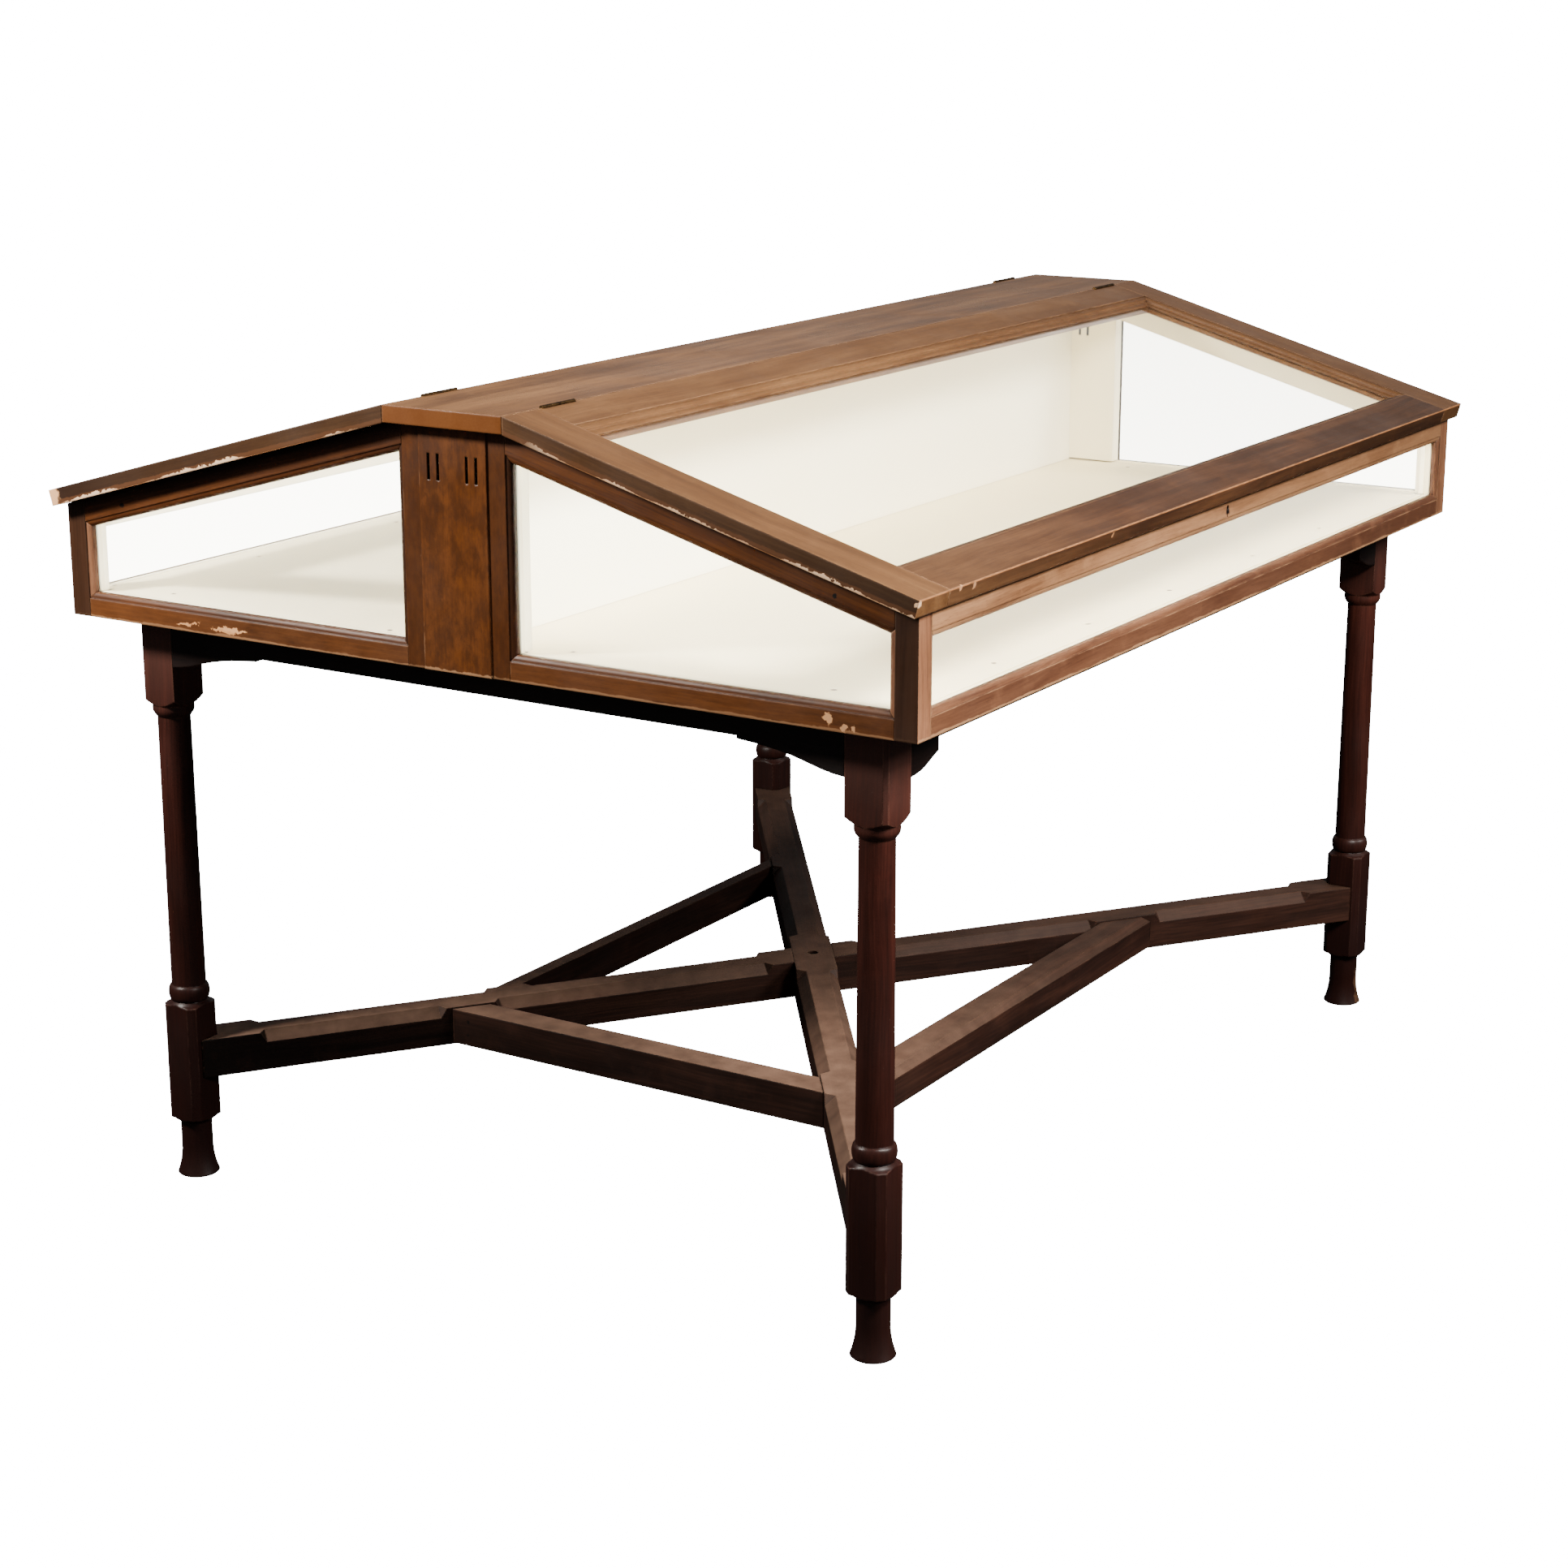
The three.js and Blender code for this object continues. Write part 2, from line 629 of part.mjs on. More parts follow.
// The rail under a gable passes behind the middle post, which is halved over it
function gableBottomRail() {
  const outer = halfDepth - postSquare;
  const behind = gablePostHalf + mouldWide + spill;
  const low = bottomArris + mouldWide;
  const middle = plate([
    [-behind, standHeight], [behind, standHeight], [behind, low], [-behind, low],
  ], gableLap, postSquare);
  return join([
    bottomRailBody(gableFrame(-1), -outer, -gablePostHalf), solid(middle),
    bottomRailBody(gableFrame(1), gablePostHalf, outer),
  ]).subtract(ledge(halfDepth));
}

function cornerPost(side) {
  const toGable = toLongFace().multiply(faceMatrix(side * quarterTurn, halfLength));
  const gable = gableFrame(-side);
  const gableSide = outerSide(-side);
  const y0 = -side * (halfDepth - postSquare);
  const y1 = -side * halfDepth;
  const tall = lidUnder(0);
  const edge = postEdge(gable, gableSide);
  const gablePart = side < 0
    ? [[y0, standHeight], ...edge, [y0, tall], [y1, tall], [y1, standHeight]]
    : [[y0, tall], ...edge, [y0, standHeight], [y1, standHeight], [y1, tall]];
  const x0 = side * (halfLength - postSquare);
  const x1 = side * halfLength;
  const longEdge = postEdge(longFrame, outerSide(side));
  const longPart = side > 0
    ? [[x0, standHeight], ...longEdge, [x0, tall], [x1, tall], [x1, standHeight]]
    : [[x0, tall], ...longEdge, [x0, standHeight], [x1, standHeight], [x1, tall]];
  const whole = solid(plate(gablePart, 0, postSquare).applyMatrix4(toGable))
    .add(solid(plate(longPart, 0, postSquare)));
  return cut(whole, [
    solid(mouldTool(gable, gableSide).applyMatrix4(toGable)),
    solid(mouldTool(longFrame, outerSide(side))),
    solid(paneTool(gable).applyMatrix4(toGable)),
    solid(paneTool(longFrame)),
    solid(lidSpace(lidRest).applyMatrix4(toLongFace())),
  ]);
}

function topRail(withLock) {
  const end = halfLength - postSquare - fit;
  const tall = lidUnder(0);
  const outline = railOutline(longFrame, 'top', [[-end, tall], [end, tall]]);
  const lockHalf = lockLength / 2 + fit;
  const lockLow = standHeight + lockBottom - fit;
  const lock = plate([
    [-lockHalf, lockLow], [lockHalf, lockLow], [lockHalf, tall], [-lockHalf, tall],
  ], postSquare - lockDepth - fit, postSquare + spill);
  return cut(solid(plate(outline, 0, postSquare)), [
    solid(mouldTool(longFrame, 'top')), solid(paneTool(longFrame)),
    solid(lidSpace(lidRest).applyMatrix4(toLongFace())),
    ...(withLock ? [solid(lock), ...keyholeTools(-spill, postSquare)] : []),
  ]);
}

function keyholeTools(front, back) {
  const z = standHeight + keyholeHeight;
  const round = new THREE.CylinderGeometry(keyholeRadius, keyholeRadius, back - front, 16)
    .rotateX(quarterTurn).translate(0, z, -(front + back) / 2);
  const slot = plate([
    [-keyholeSlot / 2, z - keyholeDrop], [keyholeSlot / 2, z - keyholeDrop],
    [keyholeSlot / 2, z], [-keyholeSlot / 2, z],
  ], front, back);
  return [solid(round), solid(slot)];
}

// Where a gable rail's top edge passes from the lid's slope to the underside of the ridge board
const gableCrown = ridgeUnder - fit;
const crownY = eaveY - (gableCrown - (eaveZ - lidUnderDrop - lidRest)) / slopeRise;

function gableRail(side) {
  const frame = gableFrame(side);
  const inner = gablePostHalf + fit;
  const outer = halfDepth - postSquare - fit;
  const top = [
    [side * inner, gableCrown], [side * Math.max(crownY, inner), gableCrown],
    [side * outer, lidUnder(outer) - lidRest],
  ];
  const outline = railOutline(frame, 'top', side > 0 ? top : top.reverse());
  return cut(solid(plate(outline, 0, postSquare)), [
    solid(mouldTool(frame, 'top')), solid(paneTool(frame)),
  ]);
}

function gablePost() {
  const left = gableFrame(-1);
  const right = gableFrame(1);
  const outline = [
    [gablePostHalf, gableCrown], ...postEdge(right, innerSide(1)), [gablePostHalf, standHeight],
    [-gablePostHalf, standHeight], ...postEdge(left, innerSide(-1)), [-gablePostHalf, gableCrown],
  ];
  const panelHalf = panelWidth / 2;
  const panel = plate([
    [-panelHalf, standHeight], [panelHalf, standHeight],
    [panelHalf, gableCrown], [-panelHalf, gableCrown],
  ], -panelProud, paneDeep / 2);
  const slotTop = gableCrown - slotDrop;
  const slots = [-1, 1].flatMap((pair) => [-1, 1].map((side) => {
    const x = pair * slotPairPitch / 2 + side * (slotBetween + slotWidth) / 2;
    return solid(plate([
      [x - slotWidth / 2, slotTop - slotHeight], [x + slotWidth / 2, slotTop - slotHeight],
      [x + slotWidth / 2, slotTop], [x - slotWidth / 2, slotTop],
    ], -panelProud - spill, gablePostThick + spill));
  }));
  const behind = gablePostHalf + mouldWide + spill;
  const lap = plate([
    [-behind, standHeight - spill], [behind, standHeight - spill],
    [behind, bottomArris + mouldWide + fit], [-behind, bottomArris + mouldWide + fit],
  ], gableLap - fit, gablePostThick + spill);
  const body = cut(solid(plate(outline, 0, gablePostThick)), [
    solid(mouldTool(left, innerSide(-1))), solid(mouldTool(right, innerSide(1))),
    solid(paneTool(left)), solid(paneTool(right)), solid(lap),
  ]);
  return cut(body.add(solid(panel)), slots);
}

// The board rests on the stand, and its edges on the ledges of the bottom rails
function baseBoard() {
  const innerX = halfLength - postSquare - fit;
  const innerY = halfDepth - postSquare - fit;
  const x = innerX + baseLedge;
  const y = innerY + baseLedge;
  const z0 = boardBottom + fit;
  const tools = [];
  const postX = halfLength - postSquare - mouldWide - fit;
  const postY = halfDepth - postSquare - mouldWide - fit;
  for (const side of [-1, 1]) {
    for (const row of [-1, 1]) {
      const [x0, x1] = [postX, x + spill].map((value) => side * value).sort((a, b) => a - b);
      const [y0, y1] = [postY, y + spill].map((value) => row * value).sort((a, b) => a - b);
      tools.push(solid(box(x0, x1, y0, y1, standHeight - spill, boardTop + spill)));
    }
  }
  const whole = solid(box(-x, x, -y, y, z0, boardTop))
    .add(solid(box(-innerX, innerX, -innerY, innerY, standHeight, boardTop)));
  return cut(whole, tools);
}

function partition() {
  const x = halfLength - gablePostThick - fit;
  const y = partitionThick / 2;
  return solid(box(-x, x, -y, y, boardTop + fit, gableCrown));
}

function makeCase(group) {
  group.add(...[['front', 0], ['rear', Math.PI]].map(([row, turn]) => {
    const face = faceGroup(turn, halfDepth);
    const sides = row === 'front' ? [['left', -1], ['right', 1]] : [['left', 1], ['right', -1]];
    for (const [end, side] of sides) add(face, `corner_post_${row}_${end}`, cornerPost(side), caseWood);
    add(face, `bottom_rail_${row}`, longBottomRail(), caseWood);
    add(face, `top_rail_${row}`, topRail(row === 'front'), caseWood);
    add(face, `pane_${row}`, solid(pane(longFrame)), glass);
    return face;
  }));
  group.add(...[['left', -1], ['right', 1]].map(([end, x]) => {
    const face = faceGroup(x * quarterTurn, halfLength);
    add(face, `bottom_rail_${end}`, gableBottomRail(), gableWood);
    for (const side of [-1, 1]) {
      const row = side === x ? 'rear' : 'front';
      add(face, `gable_rail_${row}_${end}`, gableRail(side), gableWood);
      add(face, `gable_pane_${row}_${end}`, solid(pane(gableFrame(side))), glass);
    }
    add(face, `gable_post_${end}`, gablePost(), gableWood);
    return face;
  }));
  add(group, 'base_board', baseBoard(), whitePaint);
  add(group, 'partition', partition(), whitePaint);
}

// Hinges, seen along the ridge: y = 0 and z = 0 on the axis, the lid on the -y side
const hingePlaces = [hingeInset - lidHalfLength, lidHalfLength - hingeInset];
const knuckleSplit = hingeLength / 2 - endKnuckle;

// The recess for a leaf and its knuckles, in the ridge board for side 1 and in a lid for side -1
function hingeRecess(side) {
  const face = side * (hingeGap / 2);
  const back = face + side * (leafThick + fit);
  const front = -side * spill;
  const end = hingeLength / 2 + fit;
  const [y0, y1] = [back, front].sort((a, b) => a - b);
  return hingePlaces.flatMap((x) => [
    box(x - end, x + end, y0, y1, -leafHeight - fit, spill),
    rodX(knuckleRadius + fit, x - end, x + end, 20),
  ]);
}

function flap(side) {
  const face = side * (hingeGap / 2);
  const [y0, y1] = [face, face + side * leafThick].sort((a, b) => a - b);
  return solid(box(-hingeLength / 2, hingeLength / 2, y0, y1, -leafHeight, 0));
}

// The leaf on the ridge board holds the riveted pin in its two outer knuckles
function fixedLeaf() {
  const end = hingeLength / 2;
  const clear = solid(rodX(knuckleRadius + fit, -knuckleSplit, knuckleSplit, 20));
  return join([
    flap(1).subtract(clear), solid(rodX(knuckleRadius, -end, -knuckleSplit, 20)),
    solid(rodX(knuckleRadius, knuckleSplit, end, 20)), solid(rodX(pinRadius, -end, end, 12)),
  ]);
}

// The leaf on the lid turns round the pin
function movingLeaf() {
  const end = hingeLength / 2 + spill;
  const inner = knuckleSplit - fit;
  return cut(flap(-1).add(solid(rodX(knuckleRadius, -inner, inner, 20))), [
    solid(rodX(knuckleRadius + fit, -end, -inner, 20)), solid(rodX(knuckleRadius + fit, inner, end, 20)),
    solid(rodX(pinRadius + pinPlay, -end, end, 12)),
  ]);
}

// Lids, seen square to their slope: y = 0 on the hinge axis and -y towards the eave
const lidFrame = paneFrame([
  [-lidHalfLength + lidStileWidth + lidMouldWide, -lidReach + lidFrontRailWidth + lidMouldWide],
  [lidHalfLength - lidStileWidth - lidMouldWide, -lidReach + lidFrontRailWidth + lidMouldWide],
  [lidHalfLength - lidStileWidth - lidMouldWide, -lidHingeRailWidth - lidMouldWide],
  [-lidHalfLength + lidStileWidth + lidMouldWide, -lidHingeRailWidth - lidMouldWide],
], lidMould, lidPaneLap, lidPaneDeep);

// The lid's hinge edge is plumb, so it is undercut by the slope
function plumbCut() {
  const start = -hingeGap / 2 * slopeLength;
  const rise = spill * slopeRise;
  const fall = (lidThick + spill) * slopeRise;
  return solid(alongX([
    [start + rise, spill], [2 * spill, spill], [2 * spill, -lidThick - spill],
    [start - fall, -lidThick - spill],
  ], -lidHalfLength - spill, lidHalfLength + spill));
}

function lidStile(side) {
  const x = side * lidHalfLength;
  const edge = postEdge(lidFrame, outerSide(side));
  const inner = side * (lidHalfLength - lidStileWidth);
  const outline = side > 0
    ? [[inner, -lidReach], ...edge, [inner, 0], [x, 0], [x, -lidReach]]
    : [[inner, 0], ...edge, [inner, -lidReach], [x, -lidReach], [x, 0]];
  return cut(solid(plate(outline, 0, lidThick)), [
    solid(mouldTool(lidFrame, outerSide(side))), solid(paneTool(lidFrame)), plumbCut(),
  ]);
}

function lidEaveRail(withStaple) {
  const x = lidHalfLength - lidStileWidth - fit;
  const outline = railOutline(lidFrame, 'bottom', [[x, -lidReach], [-x, -lidReach]]);
  const plateHalf = staplePlateLength / 2 + fit;
  const wide = stapleWide / 2 + fit;
  const recess = plate([
    [stapleAt - plateHalf, stapleY - wide], [stapleAt + plateHalf, stapleY - wide],
    [stapleAt + plateHalf, stapleY + wide], [stapleAt - plateHalf, stapleY + wide],
  ], lidThick - staplePlateThick - fit, lidThick + spill);
  return cut(solid(plate(outline, 0, lidThick)), [
    solid(mouldTool(lidFrame, 'bottom')), solid(paneTool(lidFrame)), ...(withStaple ? [solid(recess)] : []),
  ]);
}

function lidHingeRail() {
  const x = lidHalfLength - lidStileWidth - fit;
  const outline = railOutline(lidFrame, 'top', [[-x, 0], [x, 0]]);
  const recesses = hingeRecess(-1).map((geometry) => solid(geometry.rotateX(-lidSlope)));
  return cut(solid(plate(outline, 0, lidThick)), [
    solid(mouldTool(lidFrame, 'top')), solid(paneTool(lidFrame)), plumbCut(), ...recesses,
  ]);
}

// The lock of the front lid: the staple hangs from the lid over the middle of the lock
const boltY = -(halfDepth - postSquare + lockDepth / 2);
const eyeDeep = lidThick + stapleEyeDrop;
const stapleY = (boltY + axisY - eyeDeep * Math.sin(lidSlope)) * slopeLength;
const boltZ = ridgeTop + stapleY * Math.sin(lidSlope) - eyeDeep * Math.cos(lidSlope);

// The part of a staple under the lid, grown on every side to make the slot that it drops into
function stapleLoop(grow, top) {
  const x = stapleThick / 2 + grow;
  const y = stapleWide / 2 + grow;
  return box(stapleAt - x, stapleAt + x, stapleY - y, stapleY + y, -lidThick - stapleReach - grow, top);
}

function staple() {
  const x = staplePlateLength / 2;
  const y = stapleWide / 2;
  const top = -lidThick + staplePlateThick;
  const eye = box(stapleAt - spill, stapleAt + spill, stapleY - stapleEye / 2, stapleY + stapleEye / 2,
    -eyeDeep - stapleEye / 2, -eyeDeep + stapleEye / 2);
  return solid(box(stapleAt - x, stapleAt + x, stapleY - y, stapleY + y, -lidThick, top))
    .add(solid(stapleLoop(0, -lidThick + staplePlateThick / 2))).subtract(solid(eye));
}

const lidMatrix = () => new THREE.Matrix4().makeTranslation(0, -axisY, ridgeTop)
  .multiply(new THREE.Matrix4().makeRotationX(lidSlope));

// The bolt at rest, withdrawn to the left of the staple, grown to make the channel it slides in
function bolt(grow, back, travel) {
  const tip = stapleAt - stapleThick / 2 - stapleSlotPlay;
  const half = boltSize / 2 + grow;
  return box(tip - boltLength - back, tip + travel, boltY - half, boltY + half, boltZ - half, boltZ + half);
}

function lockCase() {
  const tall = lidUnder(0);
  const low = standHeight + lockBottom;
  const body = plate([
    [-lockLength / 2, low], [lockLength / 2, low], [lockLength / 2, tall], [-lockLength / 2, tall],
  ], postSquare - lockDepth, postSquare - fit);
  const toFace = toLongFace();
  return cut(solid(body), [
    solid(lidSpace(lidRest + lockTopGap).applyMatrix4(toFace)),
    solid(stapleLoop(stapleSlotPlay, 0).applyMatrix4(lidMatrix()).applyMatrix4(toFace)),
    solid(bolt(fit, fit, boltTravel + 2 * fit).applyMatrix4(toFace)),
    ...keyholeTools(0, postSquare - lockDepth + keyRoomDeep),
  ]);
}

function ridgeBoard() {
  const half = ridgeWidth / 2;
  const board = solid(box(-lidHalfLength, lidHalfLength, -half, half, ridgeUnder, ridgeTop));
  const recesses = [0, Math.PI].flatMap((turn) => hingeRecess(1).map((geometry) => solid(
    geometry.translate(0, -axisY, ridgeTop).rotateZ(turn))));
  return cut(board, recesses);
}

function makeLids(group) {
  for (const [name, turn] of [['front', 0], ['rear', Math.PI]]) {
    const side = new THREE.Group();
    side.rotation.z = turn;
    const hinge = new THREE.Group();
    hinge.position.set(0, -axisY, ridgeTop);
    const lid = new THREE.Group();
    lid.rotation.x = lidSlope;
    const ends = name === 'front' ? [['left', -1], ['right', 1]] : [['left', 1], ['right', -1]];
    for (const [end, x] of ends) {
      add(lid, `${name}_lid_stile_${end}`, lidStile(x), caseWood);
      const place = hingePlaces[x < 0 ? 0 : 1];
      add(hinge, `${name}_hinge_${end}_fixed_leaf`, fixedLeaf(), brass).position.x = place;
      add(hinge, `${name}_hinge_${end}_lid_leaf`, movingLeaf(), brass).position.x = place;
    }
    add(lid, `${name}_lid_hinge_rail`, lidHingeRail(), caseWood);
    add(lid, `${name}_lid_eave_rail`, lidEaveRail(name === 'front'), caseWood);
    add(lid, `${name}_lid_glass`, solid(pane(lidFrame)), glass);
    if (name === 'front') add(lid, 'lid_staple', staple(), brass);
    hinge.add(lid);
    side.add(hinge);
    group.add(side);
  }
  add(group, 'ridge_board', ridgeBoard(), caseWood);
  add(group, 'lock_bolt', solid(bolt(0, 0, 0)), brass);
  const face = faceGroup(0, halfDepth);
  add(face, 'lock_case', lockCase(), brass);
  group.add(face);
}

const displayCase = new THREE.Group();
makeStand(displayCase);
makeStretchers(displayCase);
makeCase(displayCase);
makeLids(displayCase);

export default displayCase;
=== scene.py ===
import math
import bmesh
import bpy
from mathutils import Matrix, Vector


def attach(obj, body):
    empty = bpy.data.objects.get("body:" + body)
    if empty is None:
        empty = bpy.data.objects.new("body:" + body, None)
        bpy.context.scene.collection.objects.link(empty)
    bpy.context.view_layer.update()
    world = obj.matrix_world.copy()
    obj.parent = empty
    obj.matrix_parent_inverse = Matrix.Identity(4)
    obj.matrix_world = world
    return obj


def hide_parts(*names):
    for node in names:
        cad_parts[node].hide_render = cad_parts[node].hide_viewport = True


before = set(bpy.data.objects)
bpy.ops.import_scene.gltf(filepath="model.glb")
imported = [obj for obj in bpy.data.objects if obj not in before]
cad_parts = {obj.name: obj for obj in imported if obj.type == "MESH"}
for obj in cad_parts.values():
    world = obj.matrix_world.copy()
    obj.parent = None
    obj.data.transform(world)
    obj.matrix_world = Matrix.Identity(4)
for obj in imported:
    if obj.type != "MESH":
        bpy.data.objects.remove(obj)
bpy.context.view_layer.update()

# Sizes that the part's solids use too, in metres
LEG_X = 0.7195
LEG_Y = 0.52
LEG_HALF = 0.027
LEG_HEIGHT = 0.762
DIAGONAL = math.atan2(LEG_Y, LEG_X)
SLOPE = math.radians(15.56)
LID_X = 0.8128
EAVE_Y = 0.622
EAVE_TOP = 0.922
GABLE_X = 0.793
FLOOR_TOP = 0.7915
GLASS_FACE_X = 0.7802
GLASS_FACE_Y = 0.5977

# Limits that tell the faces of a node apart, each just beside the face that it is named for
LID_END_X = 0.8124
LID_EAVE_Y = 0.6215
GABLE_FACE_X = 0.7921
PANEL_FACE_X = 0.7943
PANEL_EDGE_Y = 0.0486
POST_INNER_X = 0.7594
SLOT_REACH_Y = 0.042
SLOT_BOTTOM = 0.9825
SLOT_TOP = 1.0215
POST_MOULDING_Y = 0.0738
INSIDE_BOTTOM = 0.763
INSIDE_TOP = 1.0515
BOTTOM_RAIL_TOP = 0.7853
TOP_RAIL_BOTTOM = 0.8795
STEP = 0.0006


def srgb(red, green, blue):
    """A colour given as 0 to 255 screen values, in linear light."""
    values = []
    for value in (red, green, blue):
        c = value / 255
        values.append(c / 12.92 if c <= 0.04045 else ((c + 0.055) / 1.055) ** 2.4)
    return (*values, 1.0)


PAINT = srgb(247, 239, 212)
PAINT_ROUGHNESS = 0.6
# Dark of the open pores, and also painted shade in corners, air slots and under the lids
DIRT_AND_SHADE = (0.006, 0.003, 0.002, 1)
DUST = srgb(120, 93, 76)
BARE = srgb(150, 112, 80)
LIP_SHADE = srgb(27, 13, 6)
LIP_BAND = srgb(84, 52, 30)
LIP_LINE = srgb(164, 110, 70)
LIP_CHIP = srgb(206, 172, 138)
# Holes and the keyhole are dark spots: painted shade where their depth would be
HOLE_SHADE = srgb(14, 8, 6)
NAIL = srgb(70, 52, 36)


def link(obj):
    bpy.context.scene.collection.objects.link(obj)
    return obj


# Camera
CAMERA_PLACE = (-3.5252, -2.1408, 1.5908)
CAMERA_TILT = math.radians(74.42)
CAMERA_TURN = math.radians(-58.16)
LENS_MM = 70.11
SENSOR_MM = 36


def make_camera():
    data = bpy.data.cameras.new("camera")
    data.lens = LENS_MM
    data.sensor_width = SENSOR_MM
    data.clip_start = 0.1
    data.clip_end = 500
    camera = link(bpy.data.objects.new("camera", data))
    camera.location = CAMERA_PLACE
    camera.rotation_euler = (CAMERA_TILT, 0, CAMERA_TURN)
    bpy.context.scene.camera = camera


# Shader helpers
class Shader:
    """One material's node tree, with short ways to add nodes to it."""

    def __init__(self, name):
        self.material = bpy.data.materials.new(name)
        self.material.use_nodes = True
        self.tree = self.material.node_tree
        self.tree.nodes.clear()
        self.output = self.tree.nodes.new("ShaderNodeOutputMaterial")

    def put(self, socket, value):
        if isinstance(value, bpy.types.NodeSocket):
            self.tree.links.new(value, socket)
        else:
            socket.default_value = value

    def add(self, kind, settings=None, **inputs):
        node = self.tree.nodes.new("ShaderNode" + kind)
        for key, value in (settings or {}).items():
            setattr(node, key, value)
        for key, value in inputs.items():
            self.put(node.inputs[key.replace("_", " ")], value)
        return node

    def vector_math(self, operation, *values):
        node = self.add("VectorMath", {"operation": operation})
        for socket, value in zip(node.inputs, values):
            self.put(socket, value)
        return node

    def math(self, operation, a, b=0.0):
        node = self.add("Math", {"operation": operation})
        self.put(node.inputs[0], a)
        self.put(node.inputs[1], b)
        return node.outputs[0]

    def plus(self, a, b):
        return self.math("ADD", a, b)

    def minus(self, a, b):
        return self.math("SUBTRACT", a, b)

    def times(self, product, *factors):
        for factor in factors:
            product = self.math("MULTIPLY", product, factor)
        return product

    def absolute(self, value):
        return self.math("ABSOLUTE", value)

    def above(self, value, limit):
        return self.math("GREATER_THAN", value, limit)

    def below(self, value, limit):
        return self.math("LESS_THAN", value, limit)

    def split(self, vector):
        """The x, y and z of a vector."""
        return tuple(self.add("SeparateXYZ", Vector=vector).outputs)

    def mix(self, factor, a, b):
        node = self.add("Mix", {"data_type": "RGBA"})
        self.put(node.inputs[0], factor)
        self.put(node.inputs[6], a)
        self.put(node.inputs[7], b)
        return node.outputs[2]

    def span(self, value, low, high, to_low=0.0, to_high=1.0):
        """value carried from low..high to to_low..to_high, and no further."""
        node = self.add("MapRange", {"clamp": True})
        for socket, given in zip(node.inputs, (value, low, high, to_low, to_high)):
            self.put(socket, given)
        return node.outputs[0]

    def ramp(self, value, stops):
        node = self.add("ValToRGB")
        while len(node.color_ramp.elements) < len(stops):
            node.color_ramp.elements.new(0.5)
        for element, (position, color) in zip(node.color_ramp.elements, stops):
            element.position = position
            element.color = color
        self.put(node.inputs[0], value)
        return node.outputs[0]

    def noise(self, vector, scale=1.0, detail=3.0, roughness=0.55):
        return self.add("TexNoise", Vector=vector, Scale=scale, Detail=detail,
                        Roughness=roughness).outputs[0]

    def stretched(self, vector, direction, length, width):
        """vector with its X along direction, where one unit is as long and wide as given."""
        turn = Vector((1, 0, 0)).rotation_difference(Vector(direction)).to_euler()
        node = self.add("Mapping", {"vector_type": "TEXTURE"}, Vector=vector)
        node.inputs["Rotation"].default_value = turn
        node.inputs["Scale"].default_value = (length, width, width)
        return node.outputs[0]

    def streaks(self, vector, direction, length, width, detail=3.0, roughness=0.55):
        """Noise drawn out along a direction, in metres."""
        return self.noise(self.stretched(vector, direction, length, width),
                          detail=detail, roughness=roughness)

    def place(self):
        """Each object's own coordinates, shifted by an amount of its own."""
        spot = self.add("TexCoord").outputs["Object"]
        random = self.add("ObjectInfo").outputs["Random"]
        shift = self.add("CombineXYZ", X=self.times(random, 17.3), Y=self.times(random, 31.7),
                         Z=self.times(random, 11.9))
        return self.vector_math("ADD", spot, shift.outputs[0]).outputs[0]

    def edges(self, radius):
        """(rounded normal, how near an arris 0..1) from the shape itself."""
        round_normal = self.add("Bevel", {"samples": 4}, Radius=radius).outputs[0]
        true_normal = self.add("NewGeometry").outputs["Normal"]
        likeness = self.vector_math("DOT_PRODUCT", round_normal, true_normal)
        return round_normal, self.minus(1.0, likeness.outputs["Value"])

    def openness(self, distance):
        """1 on open faces, less in corners."""
        return self.add("AmbientOcclusion", {"samples": 4}, Distance=distance).outputs["AO"]

    def finish(self, **inputs):
        surface = self.add("BsdfPrincipled", **inputs)
        self.tree.links.new(surface.outputs[0], self.output.inputs["Surface"])
        return self.material


# Where on the part a place lies
def inner_mask(s, spot):
    """1 on the faces that look into the case, behind the glass."""
    x, y, z = s.split(spot)
    return s.times(s.below(s.absolute(x), GLASS_FACE_X), s.below(s.absolute(y), GLASS_FACE_Y),
                   s.above(z, INSIDE_BOTTOM), s.below(z, INSIDE_TOP))


def slot_mask(s, spot):
    """1 within a gable post's air slots, between its outer and inner faces."""
    x, y, z = s.split(spot)
    x = s.absolute(x)
    return s.times(s.below(x, PANEL_FACE_X), s.below(s.absolute(y), SLOT_REACH_Y),
                   s.above(x, POST_INNER_X), s.span(z, SLOT_BOTTOM, SLOT_BOTTOM + 0.001),
                   s.span(z, SLOT_TOP - 0.001, SLOT_TOP, 1.0, 0.0))


def roof_depth(s, spot):
    """How far a place lies under the closed lids' upper plane."""
    _, y, z = s.split(spot)
    rise = s.times(s.minus(EAVE_Y, s.absolute(y)), math.tan(SLOPE))
    return s.times(s.minus(s.plus(EAVE_TOP, rise), z), math.cos(SLOPE))


# Wear, dirt and painted shade, each laid over the colour that it is given
LINE_END = 0.0028  # depths under a lid's upper face, of the wear on its edge faces
LINE_FADE = 0.0008
BAND_START = 0.0150
BAND_WANDER = 0.0016
BAND_FADE = 0.0008
CHIP_START = 0.0198
CHIP_WANDER = 0.0055
CHIP_FADE = 0.0005
CHIPS_FROM_Y = 0.11
CHIPS_FULL_Y = 0.17


